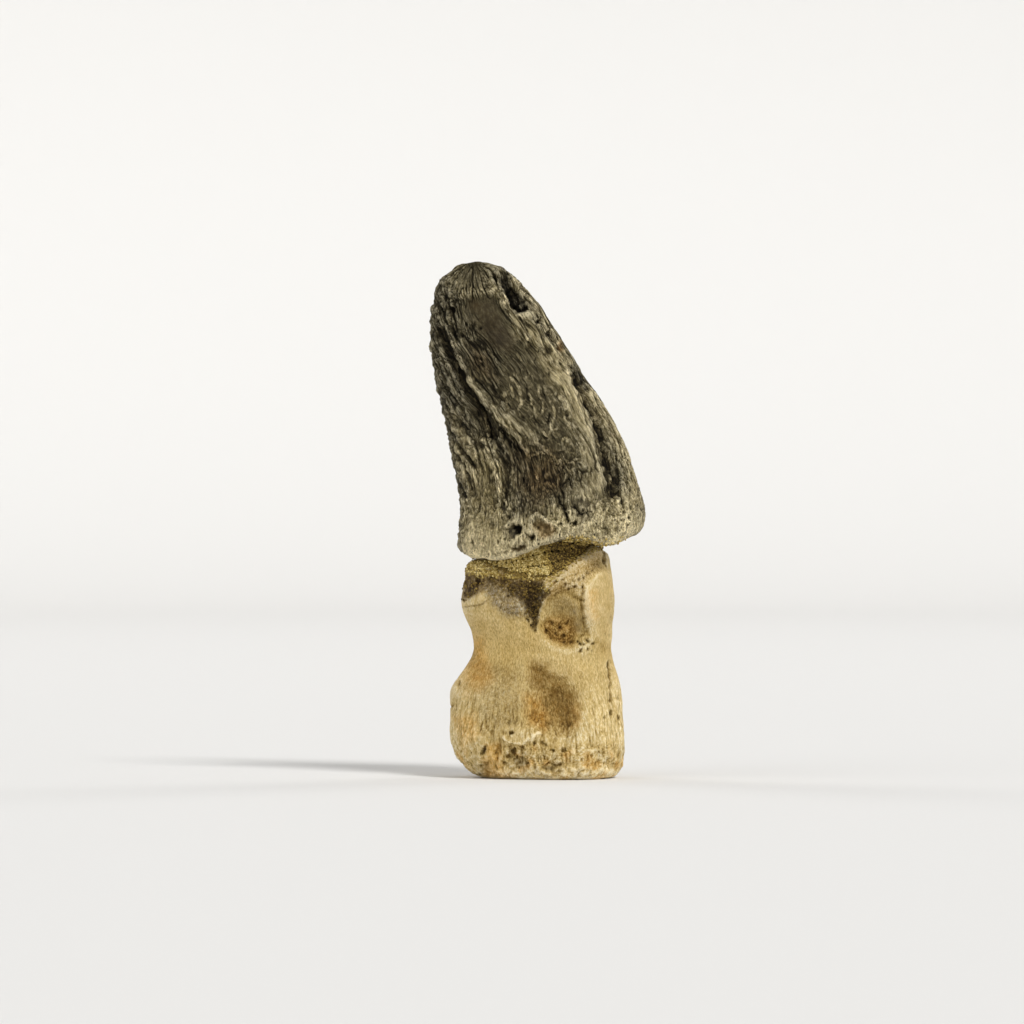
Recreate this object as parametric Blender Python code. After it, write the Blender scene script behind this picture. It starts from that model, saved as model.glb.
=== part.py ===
"""A dinosaur's toe claw as dug up: the claw core, the toe bone under it and sandstone in the joint between.

Every size is in millimetres until skin() turns it into metres. X runs to the right across the broad side,
Y to the back and Z up, from the middle of the bounding box's base. The toe bone stands on the worn rim of
its joint face. Each bone is a stack of closed rings: a table gives how far its left, right, front and back
reach at a few heights, and a rounded oval, turned to the bone's own axes, fills the space between.
"""

from collections import namedtuple

import bmesh
import bpy
import numpy as np

MM = 0.001
GAP = 0.35  # between the sandstone and the bone it holds

AROUND = 60  # corners of each ring
ANGLES = np.arange(AROUND) * 2 * np.pi / AROUND - np.pi
CLAW_RINGS = 24
TOE_RINGS = 19
WALL_RINGS = 2

TURN = np.radians(25.0)  # the bones' own axes are turned this far from X and Y
CLAW_SQUARENESS = 2.25  # 2 is an ellipse, and more is squarer
TOE_SQUARENESS = 2.7
CLAW_SLENDER = 0.76  # side to side against belly to back, before the turn
TOE_SLENDER = 0.80

HEIGHT = 149.7
TIP = (-17.6, -10.0)

Reach = namedtuple("Reach", "height left right front back")

CLAW = [
    Reach(60.0, -21.6, 29.0, -18.6, 18.6),
    Reach(67.0, -23.8, 31.0, -20.1, 20.2),
    Reach(75.0, -22.5, 31.6, -20.7, 20.8),
    Reach(85.0, -23.2, 28.9, -18.8, 20.2),
    Reach(95.0, -25.4, 25.7, -17.2, 18.4),
    Reach(105.0, -27.0, 21.2, -16.4, 15.4),
    Reach(115.0, -29.8, 14.8, -16.4, 11.4),
    Reach(125.0, -31.0, 8.0, -16.6, 6.4),
    Reach(134.0, -31.0, 2.3, -16.5, 1.4),
    Reach(141.0, -30.0, -3.0, -15.6, -3.2),
    Reach(146.0, -27.0, -7.6, -13.6, -6.2),
    Reach(148.9, -22.6, -12.2, -11.6, -8.4),
    Reach(HEIGHT, -18.9, -16.3, -10.4, -9.6),
]

TOE = [
    Reach(0.0, -16.6, 22.4, -15.0, 15.0),
    Reach(1.2, -19.0, 23.5, -16.8, 16.8),
    Reach(3.5, -22.0, 24.7, -18.6, 18.4),
    Reach(8.0, -24.9, 25.5, -20.0, 19.8),
    Reach(12.0, -26.0, 25.4, -20.1, 20.0),
    Reach(18.0, -25.6, 24.9, -19.0, 19.2),
    Reach(26.0, -25.5, 24.3, -16.8, 17.0),
    Reach(31.5, -21.6, 22.9, -15.0, 15.2),
    Reach(36.0, -19.0, 21.2, -14.4, 14.2),
    Reach(42.0, -19.4, 21.4, -15.2, 15.0),
    Reach(50.0, -22.5, 22.3, -17.0, 16.8),
    Reach(58.0, -21.5, 21.8, -16.4, 16.4),
    Reach(68.0, -19.8, 20.2, -13.6, 13.8),
]

# Heights round a ring, by the compass angle in degrees from +X towards +Y: -90 is the front.
CLAW_RIM = {
    -180: 64.9, -165: 64.3, -152: 63.9, -138: 63.4, -125: 63.8, -114: 65.0, -104: 66.4, -94: 67.9, -85: 69.0,
    -76: 70.0, -67: 70.1, -58: 68.8, -50: 67.2, -41: 68.4, -30: 70.4, -15: 71.7, 0: 72.6, 30: 71.0, 60: 68.0,
    90: 66.4, 120: 65.4, 150: 65.6,
}
HEAD_EDGE = {
    -180: 62.2, -160: 61.8, -144: 60.4, -132: 58.9, -120: 57.6, -105: 56.7, -92: 56.4, -82: 57.2, -75: 58.6,
    -67: 60.6, -58: 62.9, -48: 65.1, -38: 66.8, -28: 67.2, -15: 66.4, 0: 65.6, 40: 64.4, 90: 63.0, 135: 62.6,
}
SAND_THICK = {
    -180: 1.9, -150: 2.2, -132: 4.4, -120: 6.2, -105: 8.8, -90: 10.8, -80: 11.0, -70: 9.2, -60: 6.8, -50: 4.4,
    -40: 2.4, -28: 1.8, 0: 1.9, 60: 2.6, 90: 3.0, 130: 2.4,
}

SAND_REACH = 0.93  # the sandstone's outline as a share of the toe bone's head
JOINT_SHARES = (0.26, 0.52, 0.76, SAND_REACH)  # rings that the three pieces share in the joint
CONDYLE_SHARES = (0.45, 0.75)  # how far out along a ring the head's two rollers crest
HEAD_DOME = 6.2  # the rollers rise this far over the head's edge
HEAD_GROOVE = 3.4  # the valley between the rollers
SAND_MIDDLE = 1.8

RIM_SHARE = 0.72  # the flat rim of the base runs from here out to its edge
DISH_SHARES = (0.30, 0.55)
DISH_DEPTH = 3.4

Press = namedtuple("Press", "side x height wide tall depth")  # side is -1 on the front and 1 on the back

CLAW_PRESSES = [
    Press(-1, 2.5, 92.0, 8.0, 15.0, 1.5),  # hollow down the middle of the near side
    Press(-1, -17.0, 112.0, 5.0, 14.0, 1.0),
    Press(-1, 13.0, 112.0, 2.6, 10.0, 1.3),  # the near claw groove, in three lengths
    Press(-1, 18.2, 97.0, 2.6, 10.0, 1.8),
    Press(-1, 21.4, 84.0, 2.8, 7.0, 1.2),
    Press(-1, -5.5, 141.0, 2.4, 5.5, 1.8),  # where that groove opens at the tip
    Press(1, -6.0, 96.0, 3.6, 16.0, 1.9),  # the far claw groove
    Press(1, -15.0, 120.0, 3.2, 14.0, 1.7),
    Press(1, 6.0, 80.0, 7.0, 8.0, 1.0),
]
TOE_PRESSES = [
    Press(-1, 8.6, 49.5, 11.5, 13.5, -1.6),  # near roller's boss, raised
    Press(-1, 7.4, 46.5, 6.4, 8.6, 4.4),  # its ligament pit
    Press(-1, -2.0, 52.5, 2.6, 9.0, 2.4),  # crease beside the boss
    Press(-1, 6.2, 22.0, 7.5, 10.0, 2.6),  # hollow over the base
    Press(1, -9.0, 48.5, 10.5, 12.0, -1.4),
    Press(1, -8.6, 46.5, 5.6, 7.6, 4.4),
    Press(1, 4.0, 26.0, 9.0, 11.0, 1.6),
]


def eased(share):
    """A share from 0 to 1 with a soft start and end."""
    share = np.clip(share, 0.0, 1.0)
    return share * share * (3.0 - 2.0 * share)


def curve_through(places, values, at):
    """A smooth curve through (places, values), read at each number in at."""
    places, values, at = (np.asarray(v, float) for v in (places, values, at))
    slopes = np.gradient(values, places)
    at = np.clip(at, places[0], places[-1])
    i = np.clip(np.searchsorted(places, at) - 1, 0, len(places) - 2)
    step = places[i + 1] - places[i]
    t = (at - places[i]) / step
    start = (1 + 2 * t) * (1 - t) ** 2 * values[i] + t * (1 - t) ** 2 * step * slopes[i]
    return start + t * t * (3 - 2 * t) * values[i + 1] + t * t * (t - 1) * step * slopes[i + 1]


def round_the_ring(table, angles):
    """A table's values at these angles, in radians, joined smoothly round the circle."""
    places = sorted(table)
    values = [table[a] for a in places]
    looped = [a - 360 for a in places] + places + [a + 360 for a in places]
    degrees = (np.degrees(angles) + 180.0) % 360.0 - 180.0
    return curve_through(looped, values * 3, degrees)


def unit_oval(angles, squareness, slender):
    """Points of a turned, rounded oval that just fills the square from -1 to 1."""

    def radius(a):
        along, across = np.cos(a + TURN), np.sin(a + TURN) / slender
        return (np.abs(along) ** squareness + np.abs(across) ** squareness) ** (-1 / squareness)

    dense = np.linspace(-np.pi, np.pi, 721)
    wide = (radius(dense) * np.cos(dense)).max()
    deep = (radius(dense) * np.sin(dense)).max()
    return np.stack([radius(angles) * np.cos(angles) / wide, radius(angles) * np.sin(angles) / deep], axis=-1)


class Bone:
    """One bone's outline: where its surface is at any angle and height."""

    def __init__(self, table, squareness, slender, presses):
        self.table = table
        self.oval = unit_oval(ANGLES, squareness, slender)
        self.presses = presses

    def reach(self, name, heights):
        return curve_through([r.height for r in self.table], [getattr(r, name) for r in self.table], heights)

    def ring(self, heights, share=1.0):
        """The outline's points at these heights, one an angle, at a share of the way out from the middle."""
        heights = np.broadcast_to(heights, (AROUND,))
        left, right, front, back = (self.reach(n, heights) for n in ("left", "right", "front", "back"))
        x = (left + right) / 2 + self.oval[:, 0] * (right - left) / 2 * share
        y = (front + back) / 2 + self.oval[:, 1] * (back - front) / 2 * share
        return self.pressed(np.stack([x, y, heights], axis=1), share)

    def pressed(self, points, share):
        """Presses the bone's hollows into a ring, straight in from the side they are on."""
        outward = self.oval / np.linalg.norm(self.oval, axis=1, keepdims=True)
        for p in self.presses:
            off = ((points[:, 0] - p.x) / p.wide) ** 2 + ((points[:, 2] - p.height) / p.tall) ** 2
            push = p.depth * np.exp(-off) * eased(p.side * outward[:, 1] * 2.2) * share
            points[:, :2] -= outward * push[:, None]
        return points


def skin(name, rings, material):
    """A closed mesh object from rings of points, with a lone point in place of the first and last ring."""
    bm = bmesh.new()
    corners = [[bm.verts.new(tuple(point * MM)) for point in ring] for ring in rings]
    for low, high in zip(corners, corners[1:]):
        for i in range(AROUND):
            j = (i + 1) % AROUND
            if len(low) == 1:
                bm.faces.new((low[0], high[j], high[i]))
            elif len(high) == 1:
                bm.faces.new((low[i], low[j], high[0]))
            else:
                bm.faces.new((low[i], low[j], high[j], high[i]))
    bmesh.ops.recalc_face_normals(bm, faces=bm.faces)
    bmesh.ops.triangulate(bm, faces=bm.faces, quad_method="SHORT_EDGE")
    mesh = bpy.data.meshes.new(name)
    bm.to_mesh(mesh)
    bm.free()
    mesh.shade_smooth()
    mesh.materials.append(material)
    made = bpy.data.objects.new(name, mesh)
    bpy.context.scene.collection.objects.link(made)
    return made


def bone_material(name, colour, roughness):
    made = bpy.data.materials.new(name)
    made.use_nodes = True
    shader = made.node_tree.nodes["Principled BSDF"]
    shader.inputs["Base Color"].default_value = (*colour, 1.0)
    shader.inputs["Roughness"].default_value = roughness
    shader.inputs["Metallic"].default_value = 0.0
    return made


def lone(point):
    """A ring of one point, which closes an end."""
    return np.array([point], float)


def joint_rings(toe):
    """The head's edge ring, and the rings that the three pieces share in the joint, inside out."""
    edge = toe.ring(round_the_ring(HEAD_EDGE, ANGLES))
    middle = edge.mean(axis=0)
    sand = round_the_ring(SAND_THICK, ANGLES)
    cos, sin = np.cos(ANGLES - TURN), np.sin(ANGLES - TURN)
    head, socket = [], []
    for share in JOINT_SHARES:
        across = np.abs(cos) * share
        crest = np.exp(-(((across - CONDYLE_SHARES[0]) / 0.42) ** 2))
        roof = HEAD_DOME * crest * (1 - share**3) * (1 - 0.35 * (sin * share) ** 2)
        valley = HEAD_GROOVE * np.exp(-((across / 0.30) ** 2)) * (1 - share**2)
        points = middle + (edge - middle) * share
        points[:, 2] = middle[2] + (edge[:, 2] - middle[2]) * share**2 + roof - valley
        head.append(points)
        over = points.copy()
        over[:, 2] += SAND_MIDDLE + (sand - SAND_MIDDLE) * eased((share - 0.4) / (SAND_REACH - 0.4))
        socket.append(over)
    return edge, head, socket


def middle_of(ring, lift=0.0):
    """The lone point at the middle of a ring."""
    point = ring.mean(axis=0)
    point[2] += lift
    return lone(point)


def raised(rings, by):
    return [ring + np.array([0.0, 0.0, by]) for ring in rings]


def toe_bone(toe, edge, head):
    """The toe bone: dished base with a flat rim, waisted shaft, and a head of two rollers."""
    base = toe.ring(0.0)
    middle = base.mean(axis=0)
    rings = [lone(middle + np.array([0.0, 0.0, DISH_DEPTH]))]
    for share in (*DISH_SHARES, RIM_SHARE):
        ring = middle + (base - middle) * share
        ring[:, 2] = DISH_DEPTH * (1 - (share / RIM_SHARE) ** 2)
        rings.append(ring)
    top = edge[:, 2]
    for step in range(TOE_RINGS + 1):
        share = step / TOE_RINGS
        rings.append(toe.ring(top * (0.55 * share + 0.45 * eased(share))))
    rings += head[::-1]
    rings.append(middle_of(head[0], -0.3))
    return skin("toe_bone", rings, bone_material("golden bone", (0.62, 0.47, 0.22), 0.72))


def sandstone(head, socket):
    """The sandstone that fills the joint, from just over the head to just under the socket."""
    floor, roof = raised(head, GAP), raised(socket, -GAP)
    wall = []
    for step in range(1, WALL_RINGS + 1):
        share = step / (WALL_RINGS + 1)
        ring = floor[-1] * (1 - share) + roof[-1] * share
        tuck = 1 - 0.03 * np.sin(np.pi * share)
        ring[:, :2] = ring[:, :2].mean(axis=0) * (1 - tuck) + ring[:, :2] * tuck
        wall.append(ring)
    rings = [middle_of(floor[0], -0.3), *floor, *wall, *roof[::-1], middle_of(roof[0], -0.3)]
    return skin("joint_sandstone", rings, bone_material("sandstone", (0.36, 0.27, 0.10), 0.9))


def claw_core(claw, socket):
    """The claw core: a socket underneath, a thick wavy rim, and a blunt tip leaning to the left and front."""
    rim = round_the_ring(CLAW_RIM, ANGLES)
    rings = [middle_of(socket[0], -0.3), *socket]
    rings.append(claw.ring(rim, 0.965))
    for step in range(1, CLAW_RINGS + 1):
        share = np.sin(step / (CLAW_RINGS + 0.5) * np.pi / 2)
        rings.append(claw.ring(rim + 0.9 + (HEIGHT - rim - 0.9) * share))
    rings.append(lone((*TIP, HEIGHT)))
    return skin("claw_core", rings, bone_material("dark bone", (0.20, 0.17, 0.12), 0.7))


def main():
    for old in list(bpy.data.objects):
        bpy.data.objects.remove(old)
    claw = Bone(CLAW, CLAW_SQUARENESS, CLAW_SLENDER, CLAW_PRESSES)
    toe = Bone(TOE, TOE_SQUARENESS, TOE_SLENDER, TOE_PRESSES)
    edge, head, socket = joint_rings(toe)
    toe_bone(toe, edge, head)
    sandstone(head, socket)
    claw_core(claw, socket)


main()
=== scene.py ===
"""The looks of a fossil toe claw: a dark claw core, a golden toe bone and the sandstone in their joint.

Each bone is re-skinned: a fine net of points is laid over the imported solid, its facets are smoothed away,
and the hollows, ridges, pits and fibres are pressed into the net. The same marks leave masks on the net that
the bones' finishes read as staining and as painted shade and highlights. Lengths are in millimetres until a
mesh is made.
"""

import logging
from collections.abc import Sequence
from dataclasses import dataclass, field
from enum import Enum
from functools import cached_property
from itertools import product

import bmesh
import bpy
import numpy as np
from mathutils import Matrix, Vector
from mathutils.bvhtree import BVHTree

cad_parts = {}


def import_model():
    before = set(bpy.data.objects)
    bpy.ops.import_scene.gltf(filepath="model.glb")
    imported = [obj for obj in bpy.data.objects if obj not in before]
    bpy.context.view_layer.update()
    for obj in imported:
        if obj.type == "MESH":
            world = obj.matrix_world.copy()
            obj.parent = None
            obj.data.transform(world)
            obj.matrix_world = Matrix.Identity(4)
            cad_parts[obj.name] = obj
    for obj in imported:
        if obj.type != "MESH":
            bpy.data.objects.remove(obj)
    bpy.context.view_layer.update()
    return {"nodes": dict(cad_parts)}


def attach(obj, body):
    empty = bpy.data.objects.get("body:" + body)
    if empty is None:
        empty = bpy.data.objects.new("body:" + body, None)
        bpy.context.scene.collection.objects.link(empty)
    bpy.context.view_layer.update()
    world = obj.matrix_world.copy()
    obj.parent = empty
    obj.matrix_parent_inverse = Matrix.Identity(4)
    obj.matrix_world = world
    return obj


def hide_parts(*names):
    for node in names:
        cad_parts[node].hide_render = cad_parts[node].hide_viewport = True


LOG = logging.getLogger("fossil_claw")
MM = 0.001
Point = tuple[float, float]
Three = tuple[float, float, float]
Colour = tuple[float, float, float]
Array = np.ndarray
Socket = bpy.types.NodeSocket
Nodes = dict[str, bpy.types.Object]


class Side(Enum):
    """Which side of a bone a mark is on."""

    FRONT = "front"
    BACK = "back"
    ROUND = "round"


class StainAndShading(Enum):
    """What a mark paints on the surface besides its shape: staining, and painted shade and highlights. Each
    is a point attribute that a finish reads.
    """

    # Near black: painted shade in pits, cracks and grooves, with their dark filling, and in places darker
    # bone.
    HOLLOW = "hollow"
    # Lighter: paler bone, and painted highlight on ridges, rims and sides where the light falls.
    PALE = "pale"
    # Darker: painted shade in hollows and on sides turned from the light, and in places darker bone.
    SHADE = "shade"
    ASH = "ash"
    RUST = "rust"
    # Dark brown: a stain, and in places a painted brown shadow.
    UMBER = "umber"
    SMOOTH = "smooth"
    SAND = "sand"
    GRAINY = "grainy"


def eased(share: Array) -> Array:
    """A share of 0 to 1 with a soft start and end."""
    share = np.clip(share, 0.0, 1.0)
    return share * share * (3.0 - 2.0 * share)


def between(value: Array, low: float, high: float) -> Array:
    """How far a value has come from low to high, softened."""
    return eased((value - low) / (high - low))


@dataclass(frozen=True)
class Sheet:
    """The drawing sheet of the broad side that the marks' places are read from.

    A place on it is in sheet units, right and down from its top left corner, as seen from straight in front.
    """

    height_mm: float = 150.0
    height_units: float = 515.0
    middle: Point = (512.0, 512.0)
    foot: Point = (538.0, 777.5)
    lens_mm: float = 200.0
    sensor_mm: float = 36.0
    side_units: float = 1024.0

    @property
    def unit(self) -> float:
        """One sheet unit in millimetres."""
        return self.height_mm / self.height_units

    @property
    def aim(self) -> Point:
        """The sheet's middle, as x and z in the frame."""
        return (self.middle[0] - self.foot[0]) * self.unit, (self.foot[1] - self.middle[1]) * self.unit

    @property
    def eye(self) -> float:
        """How far in front of the frame's origin the sheet is drawn from."""
        return self.lens_mm * self.side_units * self.unit / self.sensor_mm

    def read(self, points: Array) -> Array:
        """Where points of the frame show on the sheet.

        Args:
            points: Places in the frame, the last axis x, y and z.

        Returns:
            Their places on the sheet, the last axis right and down, in sheet units.
        """
        near = self.eye / (self.eye + points[..., 1])
        right = self.middle[0] + (points[..., 0] - self.aim[0]) * near / self.unit
        down = self.middle[1] - (points[..., 2] - self.aim[1]) * near / self.unit
        return np.stack([right, down], axis=-1)


SHEET = Sheet()


class Noise:
    """Smooth random values in space, the same on each run."""

    SIZE = 4096
    PRIMES = (73856093, 19349663, 83492791)
    REACH = 50.0
    GAIN = 1.7
    OCTAVE_SHIFT = 17.0

    def __init__(self, seed: int) -> None:
        """Draws the tables.

        Args:
            seed: Which of the many possible patterns this is.
        """
        draw = np.random.default_rng(seed)
        self.slopes = draw.normal(size=(self.SIZE, 3))
        self.slopes /= np.linalg.norm(self.slopes, axis=1, keepdims=True)
        self.spots = draw.random((self.SIZE, 3))
        self.lots = draw.random(self.SIZE)
        self.offset = draw.random(3) * self.REACH

    def _entry(self, cell: Array) -> Array:
        """The table entry of each whole-numbered cell."""
        x, y, z = (cell[..., i] * self.PRIMES[i] for i in range(3))
        return (x ^ y ^ z) % self.SIZE

    def soft(self, places: Array) -> Array:
        """Gradient noise of about -1 to 1, one lump a unit.

        Args:
            places: Where to read it.

        Returns:
            A value for each place.
        """
        places = places + self.offset
        cell = np.floor(places).astype(np.int64)
        part = places - cell
        fade = part**3 * (part * (part * 6.0 - 15.0) + 10.0)
        total = np.zeros(places.shape[:-1])
        for corner in product((0, 1), repeat=3):
            slope = self.slopes[self._entry(cell + np.array(corner))]
            share = np.prod(np.where(corner, fade, 1.0 - fade), axis=-1)
            total += share * ((part - np.array(corner)) * slope).sum(axis=-1)
        return total * self.GAIN

    def rough(self, places: Array, octaves: int = 3, gain: float = 0.5) -> Array:
        """Several sizes of soft noise added up.

        Args:
            places: Where to read it.
            octaves: How many sizes, each half the one before.
            gain: Each size's strength against the one before.

        Returns:
            Values of about -1 to 1.
        """
        total, weight, sum_of = np.zeros(places.shape[:-1]), 1.0, 0.0
        for octave in range(octaves):
            total += weight * self.soft(places * 2.0**octave + self.OCTAVE_SHIFT * octave)
            sum_of += weight
            weight *= gain
        return total / sum_of

    def cells(self, places: Array) -> tuple[Array, Array]:
        """Scattered spots, about one a unit cube.

        Args:
            places: Where to read them.

        Returns:
            The distance to the nearest spot, and that spot's own lot from 0 to 1.
        """
        places = places + self.offset
        cell = np.floor(places).astype(np.int64)
        best = np.full(places.shape[:-1], np.inf)
        lot = np.zeros(places.shape[:-1])
        for step in product((-1, 0, 1), repeat=3):
            there = cell + np.array(step)
            entry = self._entry(there)
            away = np.linalg.norm(there + self.spots[entry] - places, axis=-1)
            closer = away < best
            best = np.where(closer, away, best)
            lot = np.where(closer, self.lots[entry], lot)
        return best, lot


@dataclass(frozen=True)
class Shape:
    """Where a mark lies on the sheet. It weighs each place from 0, outside, to 1, full."""

    points: tuple[Point, ...]

    @property
    def margin(self) -> float:
        """How far past its points the shape reaches, in sheet units."""
        raise NotImplementedError

    def weigh(self, places: Array) -> Array:
        """The mark's strength at these places, in sheet units."""
        raise NotImplementedError

    def wander(self) -> float:
        """How far its edge may stray from the outline, in sheet units."""
        return 0.0

    def near(self, places: Array) -> Array:
        """Which places the shape may touch.

        Args:
            places: Places on the sheet.

        Returns:
            For each place, whether the shape may touch it.
        """
        points = np.array(self.points)
        low, high = points.min(axis=0) - self.margin, points.max(axis=0) + self.margin
        return ((places > low) & (places < high)).all(axis=-1)


@dataclass(frozen=True)
class Stroke(Shape):
    """A long mark: a ridge, groove or crack along its points. Its width, in mm, is half the mark's."""

    width: float
    edge: float = 2.0
    taper: float = 2.0
    blunt: float = 0.25
    narrow: float = 0.45

    @property
    def margin(self) -> float:
        """Three widths."""
        return 3.0 * self.width / SHEET.unit

    def weigh(self, places: Array) -> Array:
        """Full on the path, fading across it and towards its ends.

        Args:
            places: Places on the sheet.

        Returns:
            Its strength at each, from 0 to 1.
        """
        path = np.array(self.points) * SHEET.unit
        places = places * SHEET.unit
        best = np.full(len(places), np.inf)
        along = np.zeros(len(places))
        gone = 0.0
        for start, end in zip(path, path[1:]):
            run = end - start
            length = float(np.hypot(*run))
            share = np.clip((places - start) @ run / length**2, 0.0, 1.0)
            away = np.linalg.norm(places - start - share[:, None] * run, axis=1)
            closer = away < best
            best = np.where(closer, away, best)
            along = np.where(closer, gone + share * length, along)
            gone += length
        ends = eased(np.minimum(along, gone - along) / self.taper + self.blunt)
        width = self.width * (self.narrow + (1.0 - self.narrow) * ends)
        return np.exp(-((best / width) ** self.edge)) * ends


@dataclass(frozen=True)
class Spot(Shape):
    """A round or oval mark. Its half sizes are in mm, and its lean in degrees turns it clockwise."""

    wide: float
    tall: float
    lean: float = 0.0
    edge: float = 2.6

    @property
    def margin(self) -> float:
        """Three half sizes."""
        return 3.0 * max(self.wide, self.tall) / SHEET.unit

    def weigh(self, places: Array) -> Array:
        """Full in the middle, fading to its edge.

        Args:
            places: Places on the sheet.

        Returns:
            Its strength at each, from 0 to 1.
        """
        off = (places - np.array(self.points[0])) * SHEET.unit
        turn = np.radians(self.lean)
        across = off[:, 0] * np.cos(turn) - off[:, 1] * np.sin(turn)
        down = off[:, 0] * np.sin(turn) + off[:, 1] * np.cos(turn)
        return np.exp(-(((across / self.wide) ** 2 + (down / self.tall) ** 2) ** (self.edge / 2.0)))


@dataclass(frozen=True)
class Patch(Shape):
    """A mark that fills an outline. Its edge softens over this many mm."""

    soft: float
    crisp: float = 1.5
    stray: float = 2.5

    @property
    def margin(self) -> float:
        """Its soft edge, and as far as the edge strays."""
        return self.soft / SHEET.unit + 1.0 + self.wander()

    def wander(self) -> float:
        """A soft outline strays more than a crisp one."""
        return self.stray * max(0.0, self.soft - self.crisp)

    def weigh(self, places: Array) -> Array:
        """Full inside, fading across the outline.

        Args:
            places: Places on the sheet.

        Returns:
            Its strength at each, from 0 to 1.
        """
        corners = np.array(self.points) * SHEET.unit
        places = places * SHEET.unit
        best = np.full(len(places), np.inf)
        inside = np.zeros(len(places), bool)
        for start, end in zip(corners, np.roll(corners, -1, axis=0)):
            run = end - start
            share = np.clip((places - start) @ run / (run @ run), 0.0, 1.0)
            best = np.minimum(best, np.linalg.norm(places - start - share[:, None] * run, axis=1))
            crosses = (start[1] > places[:, 1]) != (end[1] > places[:, 1])
            slope = run[0] / run[1] if run[1] else 0.0
            inside ^= crosses & (places[:, 0] < start[0] + (places[:, 1] - start[1]) * slope)
        return between(np.where(inside, best, -best), -self.soft, self.soft)


@dataclass(frozen=True)
class Mark:
    """One mark on a bone: its shape, how far it rises in mm, and how strong each of its kinds of staining,
    painted shade and painted light is.
    """

    shape: Shape
    rise: float
    stains: dict[str, float]


Marks = tuple[Mark, ...]
Forms = dict[Side, Marks]


def pairs(*numbers: float) -> tuple[Point, ...]:
    """Places on the sheet from a row of numbers, right and down by turns."""
    return tuple(zip(numbers[::2], numbers[1::2]))


def line(*path: float, width: float, rise: float = 0.0, **stains: float) -> Mark:
    """A ridge, or with its rise below zero a groove. Its width is half the mark's, in mm."""
    return Mark(Stroke(pairs(*path), width), rise, stains)


def dot(x: float, y: float, *half: float, rise: float = 0.0, lean: float = 0.0, **stains: float) -> Mark:
    """A knob or pit of one half size in mm, or of half its width and half its height, leaning clockwise."""
    return Mark(Spot(((x, y),), half[0], half[-1], lean), rise, stains)


def area(*outline: float, soft: float, rise: float = 0.0, **stains: float) -> Mark:
    """A filled outline whose edge fades over so many mm."""
    return Mark(Patch(pairs(*outline), soft), rise, stains)


def lines(*paths: tuple[float, ...], **look: float) -> Marks:
    """Ridges or grooves that look alike, each along its own path."""
    return tuple(line(*path, **look) for path in paths)


def dots(*places: tuple[float, ...], **look: float) -> Marks:
    """Pits or knobs that look alike, each with its own place and half sizes."""
    return tuple(dot(*place, **look) for place in places)


def placed(name: str, data: bpy.types.ID) -> bpy.types.Object:
    """A new object in the scene, with this data.

    Args:
        name: Its name.
        data: What it shows, a mesh, a lamp or a camera.

    Returns:
        The object.
    """
    made = bpy.data.objects.new(name, data)
    bpy.context.scene.collection.objects.link(made)
    return made


def make_object(
    name: str, points: Array, faces: Sequence[Array], masks: dict[str, Array], grain: Array
) -> bpy.types.Object:
    """Makes a smooth mesh object whose points carry masks and their place in the grain.

    Args:
        name: Its name.
        points: Its points in mm.
        faces: Its faces as rows of point numbers, with an array for each number of corners.
        masks: For each attribute, a number for each point.
        grain: For each point, its place in the piece's straightened grain, in mm.

    Returns:
        The object.
    """
    mesh = bpy.data.meshes.new(name)
    mesh.from_pydata(points * MM, (), [face for part in faces for face in part.tolist()])
    for label, values in masks.items():
        mesh.attributes.new(label, "FLOAT", "POINT").data.foreach_set("value", values.astype(np.float32))
    layer = mesh.attributes.new("grain", "FLOAT_VECTOR", "POINT")
    layer.data.foreach_set("vector", grain.astype(np.float32).ravel())
    mesh.shade_smooth()
    return placed(name, mesh)


def hand_over(piece: bpy.types.Object, node: str, finish: bpy.types.Material) -> None:
    """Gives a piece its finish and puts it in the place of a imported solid.

    Args:
        piece: The piece.
        node: The solid's node.
        finish: The piece's material.
    """
    piece.data.materials.append(finish)
    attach(piece, "root")
    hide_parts(node)
    LOG.info("%s: %d points", piece.name, len(piece.data.vertices))


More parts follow.
